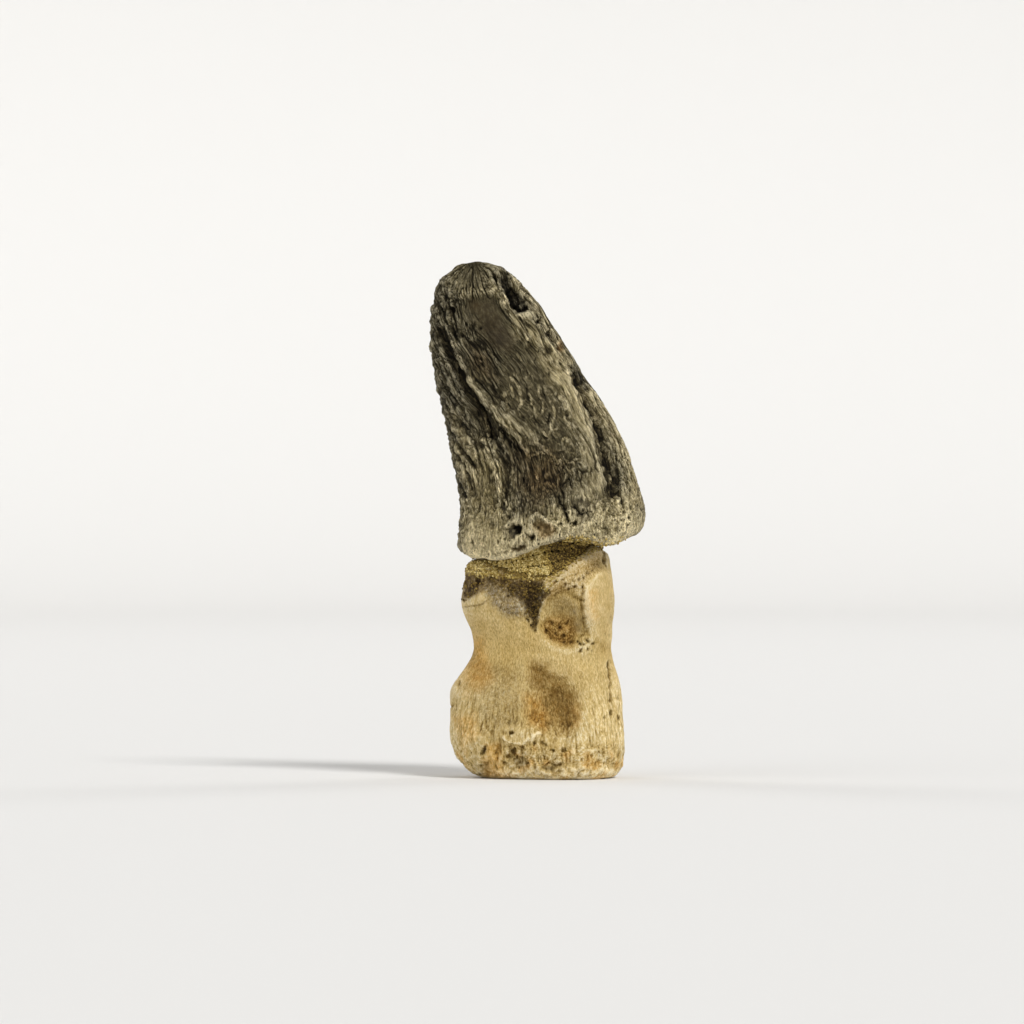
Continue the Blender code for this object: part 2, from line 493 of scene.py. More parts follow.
class Skin:
    """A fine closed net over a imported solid: rings of points round a spine, from pole to pole."""

    FRONT_BIAS = 0.30
    CAP_RINGS = 150
    SPINE_STEP = 0.25
    POLE_GAP = 0.6
    HIDDEN_END = (0.10, 0.20)
    EVENING_ROUNDS = 60
    FACING_ROUNDS = 12
    FACING_RANGE = (-0.05, 0.25)
    FINE_WOBBLES = ((2.6, 1.5), (0.9, 0.8))
    FINE_SHIFT = 31.0
    BROAD_WOBBLE = 7.0
    BROAD_SHIFT = 53.0
    ROOM = 1.2

    def __init__(
        self, node: bpy.types.Object, low: Vector, high: Vector, columns: int, rows: int, hidden: float
    ) -> None:
        """Lays the net.

        Args:
            node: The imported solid's object.
            low: The lower end of the spine, in mm.
            high: The upper end of the spine, in mm.
            columns: Points round each ring.
            rows: Rings from pole to pole.
            hidden: How sparse the net is on the lower end, from 1 for as fine as elsewhere down to 0.
        """
        self.columns, self.rows = columns, rows
        self.tree = BVHTree.FromObject(node, bpy.context.evaluated_depsgraph_get())
        along = (high - low).normalized()
        self.poles = np.array([self._hit(low, -along), self._hit(high, along)])
        self.points = self._spread(self._cast(low, high), hidden)
        self.masks: dict[str, Array] = {}

    def _hit(self, start: Vector, way: Vector) -> Vector:
        """Where a ray from inside the solid meets its surface, in mm."""
        place = self.tree.ray_cast(start * MM, way)[0]
        return start if place is None else place / MM

    def _cast(self, low: Vector, high: Vector) -> Array:
        """Shoots rays from the spine out to the solid's surface.

        Args:
            low: The lower end of the spine, in mm.
            high: The upper end of the spine, in mm.

        Returns:
            The hits as rings of points.
        """
        along = (high - low).normalized()
        front = Vector((0.0, -1.0, 0.0))
        front = (front - along * front.dot(along)).normalized()
        across = along.cross(front)
        step = np.arange(self.columns) / self.columns
        angles = 2.0 * np.pi * (step - 0.5) + self.FRONT_BIAS * np.sin(2.0 * np.pi * step)
        ways = [front * float(np.cos(angle)) + across * float(np.sin(angle)) for angle in angles]
        cap, side = self.CAP_RINGS, int((high - low).length / self.SPINE_STEP)
        tilts = np.pi / 2.0 * (1.0 - self.POLE_GAP / cap) * (np.arange(cap) + 1.0) / cap
        starts = [low] * cap + [low.lerp(high, i / side) for i in range(side + 1)] + [high] * cap
        rings = [
            [self._hit(start, along * float(np.sin(tilt)) + way * float(np.cos(tilt))) for way in ways]
            for start, tilt in zip(starts, [*-tilts[::-1], *np.zeros(side + 1), *tilts])
        ]
        return np.array(rings)

    def _spread(self, rays: Array, hidden: float) -> Array:
        """Moves the rings until they are evenly spaced along the surface.

        Args:
            rays: The hits as rings of points.
            hidden: The weight of a millimetre on the lower end.

        Returns:
            The net's points, one ring a row.
        """
        full = self._capped(rays)
        cost = np.linalg.norm(np.diff(full, axis=0), axis=2)
        share = np.linspace(0.0, 1.0, len(cost))
        cost = cost * (hidden + (1.0 - hidden) * between(share, *self.HIDDEN_END))[:, None]
        gone = np.concatenate([np.zeros((1, self.columns)), np.cumsum(cost, axis=0)])
        gone /= gone[-1]
        for _ in range(self.EVENING_ROUNDS):
            gone = (np.roll(gone, 1, 1) + gone * 2.0 + np.roll(gone, -1, 1)) / 4.0
        wanted = (np.arange(self.rows) + 1.0) / (self.rows + 1.0)
        out = np.empty((self.rows, self.columns, 3))
        for column in range(self.columns):
            for axis in range(3):
                out[:, column, axis] = np.interp(wanted, gone[:, column], full[:, column, axis])
        return out

    def _capped(self, rings: Array) -> Array:
        """Rings of points with a ring of the pole's place added at each end."""
        low, high = (np.broadcast_to(pole, (1, self.columns, 3)) for pole in self.poles)
        return np.concatenate([low, rings, high])

    def smoothed(self, values: Array, times: int) -> Array:
        """Values on the net, averaged with their neighbours.

        Args:
            values: One value or vector for each point.
            times: How often they are averaged.

        Returns:
            The averaged values.
        """
        values = values.copy()
        for _ in range(times):
            values = (np.roll(values, 1, 1) + 2.0 * values + np.roll(values, -1, 1)) / 4.0
            values[1:-1] = (values[:-2] + 2.0 * values[1:-1] + values[2:]) / 4.0
        return values

    def normals(self) -> Array:
        """The outward direction at each point.

        Returns:
            A vector of length 1 for each point.
        """
        full = self._capped(self.points)
        up = full[2:] - full[:-2]
        side = np.roll(self.points, -1, 1) - np.roll(self.points, 1, 1)
        out = np.cross(side, up)
        return out / np.maximum(np.linalg.norm(out, axis=2, keepdims=True), 1e-9)

    def facing(self, side: Side) -> Array:
        """How much each point belongs to a side, from 0 to 1.

        Args:
            side: The side.

        Returns:
            A share for each point.
        """
        if side is Side.ROUND:
            return np.ones(self.points.shape[:2])
        toward = 1.0 if side is Side.BACK else -1.0
        turned = self.smoothed(self.normals(), self.FACING_ROUNDS)[..., 1] * toward
        return between(turned, *self.FACING_RANGE)

    def within(self, shape: Shape, side: Side) -> Array:
        """How far each point is inside a shape on one side, from 0 to 1."""
        places = SHEET.read(self.points)
        return shape.weigh(places.reshape(-1, 2)).reshape(places.shape[:2]) * self.facing(side)

    def _strayed(self, wobble: Noise, size: float, shift: float) -> Array:
        """Two values of noise at each point, in lumps of so many mm."""
        return np.stack([wobble.soft(self.points / size + part * shift) for part in range(2)], axis=-1)

    def press(self, forms: Forms, wobble: Noise) -> None:
        """Presses marks into the net along its normals and adds their staining, painted shade and painted
        light to the masks.

        Args:
            forms: The marks of each side.
            wobble: Noise that keeps their edges from being too even.
        """
        places = SHEET.read(self.points)
        for size, strength in self.FINE_WOBBLES:
            places = places + strength * self._strayed(wobble, size, self.FINE_SHIFT)
        broad = self._strayed(wobble, self.BROAD_WOBBLE, self.BROAD_SHIFT)
        rise = np.zeros(self.points.shape[:2])
        for side, marks in forms.items():
            facing = self.facing(side)
            for mark in marks:
                near = mark.shape.near(places) & (facing > 0.0)
                if not near.any():
                    continue
                weight = mark.shape.weigh(places[near] + mark.shape.wander() * broad[near]) * facing[near]
                rise[near] += weight * mark.rise
                for stain, amount in mark.stains.items():
                    mask = self.mask(StainAndShading(stain))
                    mask[near] = 1.0 - (1.0 - mask[near]) * (1.0 - np.clip(weight * amount, 0.0, 1.0))
        self.lift(rise)

    def lift(self, height: Array) -> None:
        """Moves each point out along its normal by its height in mm, but not under the floor."""
        self.points = self.points + self.normals() * height[..., None]
        self.points[..., 2] = np.maximum(self.points[..., 2], 0.0)

    def room(self) -> Array:
        """From 0 where a bone rests on the floor to 1 a little above it."""
        return between(self.points[..., 2], 0.0, self.ROOM)

    def mask(self, stain: StainAndShading) -> Array:
        """The mask of one stain, made at the first use."""
        return self.masks.setdefault(stain.value, np.zeros(self.points.shape[:2]))

    def stain(self, stain: StainAndShading, amount: Array) -> None:
        """Raises a stain's mask to an amount where it is less."""
        self.masks[stain.value] = np.maximum(self.mask(stain), amount)

    def relief(self, times: int, full_mm: float) -> Array:
        """How far each point stands out from what so many rounds of averaging leave of its surroundings."""
        away = self.points - self.smoothed(self.points, times)
        return np.clip((away * self.normals()).sum(axis=2) / full_mm, -1.5, 1.5)

    @staticmethod
    def _closed(values: Array) -> Array:
        """Values on the net as one row, with the ends' means for the two poles."""
        flat = values.reshape(-1, *values.shape[2:])
        return np.concatenate([flat, values[:1].mean(axis=1), values[-1:].mean(axis=1)])

    def to_object(self, name: str, grain: Array) -> bpy.types.Object:
        """Makes the mesh object, with its masks as attributes.

        Args:
            name: The object's name.
            grain: For each point, its place in the bone's own straightened grain, in mm.

        Returns:
            The object, smooth shaded, with an unwrapped map.
        """
        rows, columns = self.rows, self.columns
        index = np.arange(rows * columns).reshape(rows, columns)
        right = np.roll(index, -1, 1)
        quads = np.stack([index[:-1], right[:-1], right[1:], index[1:]], axis=-1).reshape(-1, 4)
        low_fan = np.stack([right[0], index[0], np.full(columns, rows * columns)], axis=-1)
        high_fan = np.stack([index[-1], right[-1], np.full(columns, rows * columns + 1)], axis=-1)
        masks = {label: self._closed(values) for label, values in self.masks.items()}
        faces = (quads, low_fan, high_fan)
        made = make_object(name, self._closed(self.points), faces, masks, self._closed(grain))
        layer = made.data.uv_layers.new(name="OFBake")
        layer.uv.foreach_set("vector", self._unwrapped().astype(np.float32).ravel())
        return made

    def _unwrapped(self) -> Array:
        """The net's map, in the order of its faces: round it across the map, from pole to pole up it.

        Returns:
            A place on the map for each corner of each face.
        """
        rows, columns = self.rows, self.columns
        fan = np.arange(columns)
        column, row = np.tile(fan, rows - 1), np.repeat(np.arange(rows - 1), columns)
        quads = (np.add.outer(column, (0, 1, 1, 0)), np.add.outer(row, (0, 0, 1, 1)))
        low = (np.add.outer(fan, (1, 0, 0.5)), np.add.outer(fan * 0, (0, 0, -1)))
        high = (np.add.outer(fan, (0, 1, 0.5)), np.add.outer(fan * 0 + rows, (-1, -1, 0)))
        places = np.concatenate([np.stack(part, axis=-1).reshape(-1, 2) for part in (quads, low, high)])
        return (places + (0.0, 1.0)) / (columns, rows + 1.0)


class Graph:
    """Adds nodes to the tree of a material or a group, and hands back the sockets they put out."""

    def __init__(self, tree: bpy.types.NodeTree) -> None:
        """Keeps the tree."""
        self.tree = tree

    def node(self, kind: str, inputs: dict[str, object] | None = None, **settings: object) -> bpy.types.Node:
        """Adds a node.

        Args:
            kind: Its Blender type.
            inputs: Values or sockets for its inputs, by their names.
            **settings: Its own properties.

        Returns:
            The node.
        """
        made = self.tree.nodes.new(kind)
        for name, value in settings.items():
            setattr(made, name, value)
        for name, value in (inputs or {}).items():
            self.feed(made.inputs[name], value)
        return made

    def feed(self, socket: Socket, value: object) -> None:
        """Links a socket to an input, or sets the input to a plain value.

        Args:
            socket: The input.
            value: A socket, a number or a colour.
        """
        if isinstance(value, Socket):
            self.tree.links.new(value, socket)
        elif isinstance(value, tuple) and len(socket.default_value) == 4:
            socket.default_value = (*value, 1.0)
        else:
            socket.default_value = value

    def math(self, operation: str, *values: object, clamp: bool = False) -> Socket:
        """A Math node's result.

        Args:
            operation: What it does.
            *values: Its inputs, in order.
            clamp: Whether the result is kept from 0 to 1.

        Returns:
            The result.
        """
        made = self.node("ShaderNodeMath", operation=operation, use_clamp=clamp)
        for socket, value in zip(made.inputs, values):
            self.feed(socket, value)
        return made.outputs[0]

    def times(self, first: object, *others: object) -> Socket:
        """The product of its values.

        Args:
            first: The first value.
            *others: The values it is multiplied by.

        Returns:
            The product.
        """
        for other in others:
            first = self.math("MULTIPLY", first, other)
        return first

    def mix(self, share: object, low: object, high: object, blend: str = "MIX") -> Socket:
        """Two colours mixed.

        Args:
            share: How much of the second colour there is.
            low: The first colour.
            high: The second colour.
            blend: How the second is laid over the first.

        Returns:
            The mixed colour.
        """
        made = self.node("ShaderNodeMix", data_type="RGBA", blend_type=blend, clamp_factor=True)
        colours = (socket for socket in made.inputs if socket.type == "RGBA")
        for socket, value in zip((made.inputs["Factor"], *colours), (share, low, high)):
            self.feed(socket, value)
        return next(socket for socket in made.outputs if socket.type == "RGBA")

    def levels(self, value: object, low: float, high: float, out: Point = (0.0, 1.0)) -> Socket:
        """A value stretched from one range to another, with soft ends.

        Args:
            value: The value.
            low: What becomes the first end.
            high: What becomes the second end.
            out: The two ends.

        Returns:
            The stretched value.
        """
        ends = {"From Min": low, "From Max": high, "To Min": out[0], "To Max": out[1]}
        made = self.node("ShaderNodeMapRange", {"Value": value, **ends}, interpolation_type="SMOOTHSTEP")
        return made.outputs["Result"]

    def blend(self, share: object, low: float, high: float) -> Socket:
        """A number from low to high, as a share of 0 to 1 says."""
        return self.levels(share, 0.0, 1.0, (low, high))

    def attribute(self, name: str, output: str = "Fac") -> Socket:
        """A point attribute of the mesh."""
        made = self.node("ShaderNodeAttribute", attribute_name=name, attribute_type="GEOMETRY")
        return made.outputs[output]

    def group(self, tree: bpy.types.NodeTree, output: str, **inputs: object) -> Socket:
        """What a node group puts out, from values or sockets for its inputs."""
        return self.node("ShaderNodeGroup", inputs, node_tree=tree).outputs[output]


class Effects:
    """The node groups that the finishes share. Each is built once, when it is first asked for."""

    @staticmethod
    def _group(
        name: str, inputs: dict[str, float], output: str
    ) -> tuple[Graph, bpy.types.Node, bpy.types.Node, Socket]:
        """Starts a group with a vector input called Grain and one number output.

        Args:
            name: The group's name.
            inputs: Its number inputs with their defaults. Across and Along scale the grain.
            output: The name of its output.

        Returns:
            A graph to build it with, its input node, its output node, and the scaled grain.
        """
        tree = bpy.data.node_groups.new(name, "ShaderNodeTree")
        tree.interface.new_socket("Grain", in_out="INPUT", socket_type="NodeSocketVector")
        for label, value in inputs.items():
            socket = tree.interface.new_socket(label, in_out="INPUT", socket_type="NodeSocketFloat")
            socket.default_value = value
        tree.interface.new_socket(output, in_out="OUTPUT", socket_type="NodeSocketFloat")
        graph, start, end = Graph(tree), tree.nodes.new("NodeGroupInput"), tree.nodes.new("NodeGroupOutput")
        parts = graph.node("ShaderNodeSeparateXYZ", {"Vector": start.outputs["Grain"]})
        join = graph.node("ShaderNodeCombineXYZ")
        for axis, scale in (("X", "Across"), ("Y", "Across"), ("Z", "Along")):
            graph.feed(join.inputs[axis], graph.times(parts.outputs[axis], start.outputs[scale]))
        return graph, start, end, join.outputs["Vector"]

    @cached_property
    def fibres(self) -> bpy.types.NodeTree:
        """Thin lines that run along the grain and fork and end.

        Returns:
            The node group.
        """
        inputs = {"Across": 1.0, "Along": 0.2, "Width": 0.06}
        graph, start, end, place = self._group("fibres", inputs, "Lines")
        looks = {"Vector": place, "Scale": 1.0, "Detail": 2.0, "Distortion": 0.6}
        noise = graph.node("ShaderNodeTexNoise", looks)
        away = graph.math("ABSOLUTE", graph.math("SUBTRACT", noise.outputs["Fac"], 0.5))
        near = graph.math("DIVIDE", away, start.outputs["Width"])
        graph.feed(end.inputs["Lines"], graph.levels(near, 0.1, 1.0, (1.0, 0.0)))
        return graph.tree

    @cached_property
    def pores(self) -> bpy.types.NodeTree:
        """Scattered small holes, longer along the grain.

        Returns:
            The node group.
        """
        inputs = {"Across": 1.0, "Along": 0.6, "Size": 0.3, "Share": 0.4}
        graph, start, end, place = self._group("pores", inputs, "Holes")
        cells = graph.node("ShaderNodeTexVoronoi", {"Vector": place, "Scale": 1.0})
        lot = graph.node("ShaderNodeSeparateColor", {"Color": cells.outputs["Color"]}).outputs["Red"]
        near = graph.math("DIVIDE", cells.outputs["Distance"], start.outputs["Size"])
        chosen = graph.math("LESS_THAN", lot, start.outputs["Share"])
        graph.feed(end.inputs["Holes"], graph.times(graph.levels(near, 0.35, 1.0, (1.0, 0.0)), chosen))
        return graph.tree

    @cached_property
    def mottle(self) -> bpy.types.NodeTree:
        """Uneven patches, from 0 to 1.

        Returns:
            The node group.
        """
        inputs = {"Across": 0.3, "Along": 0.15, "Detail": 4.0, "Contrast": 1.0}
        graph, start, end, place = self._group("mottle", inputs, "Value")
        looks = {"Vector": place, "Scale": 1.0, "Detail": start.outputs["Detail"], "Roughness": 0.62}
        noise = graph.node("ShaderNodeTexNoise", looks)
        spread = graph.math("SUBTRACT", noise.outputs["Fac"], 0.5)
        spread = graph.times(spread, start.outputs["Contrast"], 2.2)
        graph.feed(end.inputs["Value"], graph.math("ADD", spread, 0.5, clamp=True))
        return graph.tree


@dataclass(frozen=True)
class Mottle:
    """Uneven patches, so many a mm across the grain and along it."""

    across: float
    along: float
    detail: float
    contrast: float


class FinishGraph(Graph):
    """The graph of a new material, which knows the shared effects and its piece's grain."""

    def __init__(self, name: str, effects: Effects) -> None:
        """Makes the material.

        Args:
            name: Its name.
            effects: The node groups that it draws on.
        """
        self.material = bpy.data.materials.new(name)
        self.material.use_nodes = True
        super().__init__(self.material.node_tree)
        self.shader = self.tree.nodes["Principled BSDF"]
        self.effects = effects
        self.grain = self.attribute("grain", "Vector")

    def mottle(self, look: Mottle) -> Socket:
        """A number that goes from 0 to 1 by patches."""
        sizes = {name.title(): value for name, value in vars(look).items()}
        return self.group(self.effects.mottle, "Value", Grain=self.grain, **sizes)

    def ramp(self, value: object, *stops: tuple[float, Colour]) -> Socket:
        """A colour that goes by a value, from stop to stop.

        Args:
            value: The value, from 0 to 1.
            *stops: Each stop, a value and its colour.

        Returns:
            The colour.
        """
        made = self.node("ShaderNodeValToRGB", {"Fac": value})
        elements = made.color_ramp.elements
        for _ in stops[2:]:
            elements.new(0.5)
        for element, (place, tint) in zip(elements, stops):
            element.position, element.color = place, (*tint, 1.0)
        return made.outputs["Color"]

    def coat(self, colour: object, height: object, deep_mm: float, specular: float) -> bpy.types.Material:
        """Feeds the shader.

        Args:
            colour: The surface's colour.
            height: Its fine relief, from 0 to 1.
            deep_mm: The depth of the relief.
            specular: How strongly it reflects.

        Returns:
            The material.
        """
        self.feed(self.shader.inputs["Base Color"], colour)
        bump = self.node("ShaderNodeBump", {"Height": height, "Distance": deep_mm * MM, "Strength": 1.0})
        self.feed(self.shader.inputs["Normal"], bump.outputs["Normal"])
        self.shader.inputs["Specular IOR Level"].default_value = specular
        return self.material


@dataclass(frozen=True)
class Wash:
    """How one kind of staining, painted shade or painted light colours a bone: laid over it, or multiplied
    into it so that its texture shows.
    """

    stain: StainAndShading
    tint: Colour
    strength: float
    over: bool = False


@dataclass(frozen=True)
class Hairlines:
    """Hair-fine dark lines along the grain, so many a mm across it and along it."""

    across: float
    along: float
    width: float
    depth: float


@dataclass(frozen=True)
class Pinholes:
    """Hair-fine dark holes, so many a mm, and how much more of them there are where the bone is grainy."""

    across: float
    size: float
    share: float
    depth: float
    grainy_share: float


@dataclass(frozen=True)
class BoneFinish:
    """Bone turned to stone: painted shade darkens its hollows and painted highlight lightens its ridges;
    fibrous, porous and stained.
    """

    name: str
    # From hollow to ridge top: the darkest colour is painted shade in hollows and cuts, the lightest a
    # painted highlight on the highest ridges.
    hollow: Colour
    middle: Colour
    ridge: Colour
    crest: Colour
    washes: tuple[Wash, ...]
    strands: Mottle
    strand_strength: float
    granule_strength: float
    hairlines: tuple[Hairlines, ...]
    pinholes: tuple[Pinholes, ...]
    fine_mm: float
    mottle_tint: Colour
    roughness: float
    smooth_roughness: float
    specular: float
    mottle_strength: float = 0.8
    granules: Mottle = Mottle(2.0, 1.7, 3.0, 1.8)
    wash_patches: Mottle = Mottle(1.0, 0.7, 4.0, 1.3)
    body_patches: Mottle = Mottle(0.16, 0.10, 3.0, 1.2)
    wash_range: Point = (0.6, 1.25)
    level_stops: tuple[float, ...] = (0.10, 0.45, 0.70, 1.0)
    # How much the fine and broad relief paint shade into hollows and highlight onto ridges.
    relief_share: float = 0.29
    form_share: float = 0.14
    polish: float = 0.85
    polished_relief: float = 0.1
    grainy_hairlines: float = 0.5
    pinhole_length: float = 0.65

    def build(self, effects: Effects) -> bpy.types.Material:
        """Makes the material.

        Args:
            effects: The node groups that it draws on.

        Returns:
            The material.
        """
        graph = FinishGraph(self.name, effects)
        smooth, grainy = (graph.attribute(stain.value) for stain in (StainAndShading.SMOOTH, StainAndShading.GRAINY))
        bare = graph.math("SUBTRACT", 1.0, graph.times(smooth, self.polish), clamp=True)
        strands, granules = graph.mottle(self.strands), graph.mottle(self.granules)
        strong = graph.math("SUBTRACT", 1.0, grainy, clamp=True)
        texture = graph.math("ADD", graph.times(strands, strong), graph.times(granules, grainy), clamp=True)
        height = graph.times(texture, graph.blend(bare, self.polished_relief, 1.0))
        strength = graph.blend(grainy, self.strand_strength, self.granule_strength)
        colour = self._body_colour(graph, texture, graph.times(bare, strength))
        # Hairlines and pinholes are darkened towards the hollow colour as painted shade in them.
        for cut in self._cuts(graph, grainy, bare):
            colour = graph.mix(cut, colour, self.hollow)
            height = graph.math("SUBTRACT", height, cut)
        uneven = graph.mottle(self.wash_patches)
        for wash in self.washes:
            amount = graph.blend(uneven, *(end * wash.strength for end in self.wash_range))
            share = graph.times(graph.attribute(wash.stain.value), amount)
            colour = graph.mix(share, colour, wash.tint, "MIX" if wash.over else "MULTIPLY")
        rough = graph.blend(smooth, self.roughness, self.smooth_roughness)
        graph.feed(graph.shader.inputs["Roughness"], rough)
        return graph.coat(colour, height, self.fine_mm, self.specular)

    def _cuts(self, graph: FinishGraph, grainy: object, bare: object) -> list[Socket]:
        """The hairlines and pinholes, each as how deep a place is in one.

        Args:
            graph: The material's graph.
            grainy: How much the surface is granules and not strands.
            bare: How rough the surface is.

        Returns:
            A value for each set, from 0 to its depth.
        """
        cuts = []
        for look in self.hairlines:
            sizes = {"Across": look.across, "Along": look.along, "Width": look.width}
            lines = graph.group(graph.effects.fibres, "Lines", Grain=graph.grain, **sizes)
            fewer = graph.blend(grainy, 1.0, self.grainy_hairlines)
            cuts.append(graph.times(lines, look.depth, bare, fewer))
        for look in self.pinholes:
            share = graph.blend(grainy, look.share, look.share + look.grainy_share)
            along = look.across * self.pinhole_length
            sizes = {"Across": look.across, "Along": along, "Size": look.size, "Share": share}
            holes = graph.group(graph.effects.pores, "Holes", Grain=graph.grain, **sizes)
            cuts.append(graph.times(holes, look.depth, bare))
        return cuts

    def _body_colour(self, graph: FinishGraph, texture: object, strength: object) -> Socket:
        """The bone's colour by how much it stands out: painted shade in its hollows and painted highlight on
        its ridges, over its own tone.

        Args:
            graph: The material's graph.
            texture: The fine texture.
            strength: How strongly the texture shows.

        Returns:
            The colour.
        """
        relief, form = graph.attribute("relief"), graph.attribute("form")
        level = graph.math("ADD", graph.times(relief, self.relief_share), graph.times(form, self.form_share))
        fine = graph.times(graph.math("SUBTRACT", texture, 0.5), strength)
        level = graph.math("ADD", graph.math("ADD", level, 0.5), fine, clamp=True)
        body = graph.ramp(level, *zip(self.level_stops, (self.hollow, self.middle, self.ridge, self.crest)))
        share = graph.times(graph.mottle(self.body_patches), self.mottle_strength)
        return graph.mix(share, body, self.mottle_tint, "MULTIPLY")


@dataclass(frozen=True)
class Furrows:
    """Fine grooves that run with the grain, fork and end. Their sizes are in mm."""

    across: float
    along: float
    width: float
    depth: float
    dark: float
    shift: float = 0.0

    GAIN = 0.4
    STEP = 0.1
    LEAST_SLOPE = 0.55
    FLAT_SHARE = 0.3
    GAPS = (0.8, 0.8, 1.8)
    GAP_SHIFT = 9.0
    GAP_ENDS = (-0.20, 0.20)

    def cut(self, grain: Array, noise: Noise) -> Array:
        """How deep each point is in a furrow.

        Args:
            grain: The points' places in the straightened grain.
            noise: The pattern to draw them from.

        Returns:
            From 0, outside, to 1, at the bottom.
        """
        place = grain / np.array([self.across, self.across, self.along]) + self.shift
        value = noise.rough(place, 2, self.GAIN)
        steps = (place + self.STEP * np.eye(3)[axis] for axis in (0, 1))
        slopes = [(noise.rough(step, 2, self.GAIN) - value) / self.STEP for step in steps]
        steep = np.maximum(np.hypot(*slopes), self.LEAST_SLOPE)
        away = np.abs(value) / steep * self.across
        ends = between(noise.soft(place * np.array(self.GAPS) + self.GAP_SHIFT), *self.GAP_ENDS)
        return (1.0 - between(away, self.width * self.FLAT_SHARE, self.width)) * ends


@dataclass(frozen=True)
class Pits:
    """Scattered small pits, longer with the grain. Their sizes are in mm."""

    apart: float
    long: float
    size: float
    share: float
    depth: float
    dark: float
    shift: float = 0.0

    SMALLEST = 0.55
    SPREAD = 0.9
    FLAT_SHARE = 0.35

    def cut(self, grain: Array, noise: Noise) -> Array:
        """How deep each point is in a pit.

        Args:
            grain: The points' places in the straightened grain.
            noise: The pattern to draw them from.

        Returns:
            From 0, outside, to 1, at the bottom.
        """
        apart = np.array([1.0, 1.0, self.long]) * self.apart
        away, lot = noise.cells(grain / apart + self.shift)
        size = self.size * (self.SMALLEST + self.SPREAD * (lot / self.share))
        return (1.0 - between(away, size * self.FLAT_SHARE, size)) * (lot < self.share)


@dataclass(frozen=True)
class Lumps:
    """Random relief: the size of its lumps in mm, across and along, and its height in mm."""

    across: float
    along: float
    height: float = 1.0
    shift: float = 0.0
    octaves: int = 2

    def read(self, places: Array, noise: Noise) -> Array:
        """How far each place rises, in mm."""
        size = np.array([self.across, self.across, self.along])
        return self.height * noise.rough(places / size + self.shift, self.octaves)


class Carving:
    """What is cut into a bone's skin: how far each point rises in mm, and how dark it gets, which is painted
    shade in its furrows and pits.
    """

    def __init__(self, grain: Array, noise: Noise) -> None:
        """Starts with nothing cut into points at these places of the straightened grain."""
        self.grain, self.noise = grain, noise
        self.rise, self.dark = np.zeros(grain.shape[:2]), np.zeros(grain.shape[:2])

    def sink(self, looks: Sequence[Furrows | Pits], share: Array) -> None:
        """Cuts furrows or pits, each point as deep as its share says.

        Args:
            looks: The furrows or pits.
            share: For each point, how deep they go there.
        """
        for look in looks:
            cut = look.cut(self.grain, self.noise) * share
            self.rise -= look.depth * cut
            self.dark = np.maximum(self.dark, look.dark * cut)


@dataclass
class Bone:
    """A bone's skin: what the two bones do alike."""

    name: str
    node: str
    slot: str
    spine_low: Three
    spine_high: Three
    hidden: float
    seed: int
    polish: float
    columns: int = 370
    rows: int = 262
    facet_rounds: int = 22
    # Rounds of averaging, and the height in mm that counts as full.
    fine_reliefs: tuple[tuple[int, float], ...] = ((10, 0.22), (40, 0.5))
    fine_share: float = 0.6
    form_relief: tuple[int, float] = (260, 1.6)
    skin: Skin = field(init=False)

    def lay(self, nodes: Nodes) -> None:
        """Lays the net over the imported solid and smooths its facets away.

        Args:
            nodes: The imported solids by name.
        """
        low, high = Vector(self.spine_low), Vector(self.spine_high)
        self.skin = Skin(nodes[self.node], low, high, self.columns, self.rows, self.hidden)
        self.skin.points = self.skin.smoothed(self.skin.points, self.facet_rounds)

    def grain(self, points: Array) -> Array:
        """The points' places in the bone's straightened grain: across it in x and y, along it in z."""
        raise NotImplementedError

    def bare(self) -> Array:
        """How much of its fine texture each point keeps."""
        return 1.0 - self.polish * self.skin.mask(StainAndShading.SMOOTH)

    def carve(self) -> None:
        """Presses the bone's features into its net."""
        raise NotImplementedError

    def close(self, finish: bpy.types.Material) -> None:
        """Measures the relief, makes the object and hands it to the frame.

        Args:
            finish: The bone's material.
        """
        skin = self.skin
        # The relief and form masks drive the finish's painted shade in hollows and painted highlight on
        # ridges.
        skin.masks["relief"] = sum(skin.relief(*scale) * self.fine_share for scale in self.fine_reliefs)
        skin.masks["form"] = skin.relief(*self.form_relief)
        for stain in StainAndShading:
            skin.mask(stain)
        hand_over(skin.to_object(self.name, self.grain(skin.points)), self.node, finish)


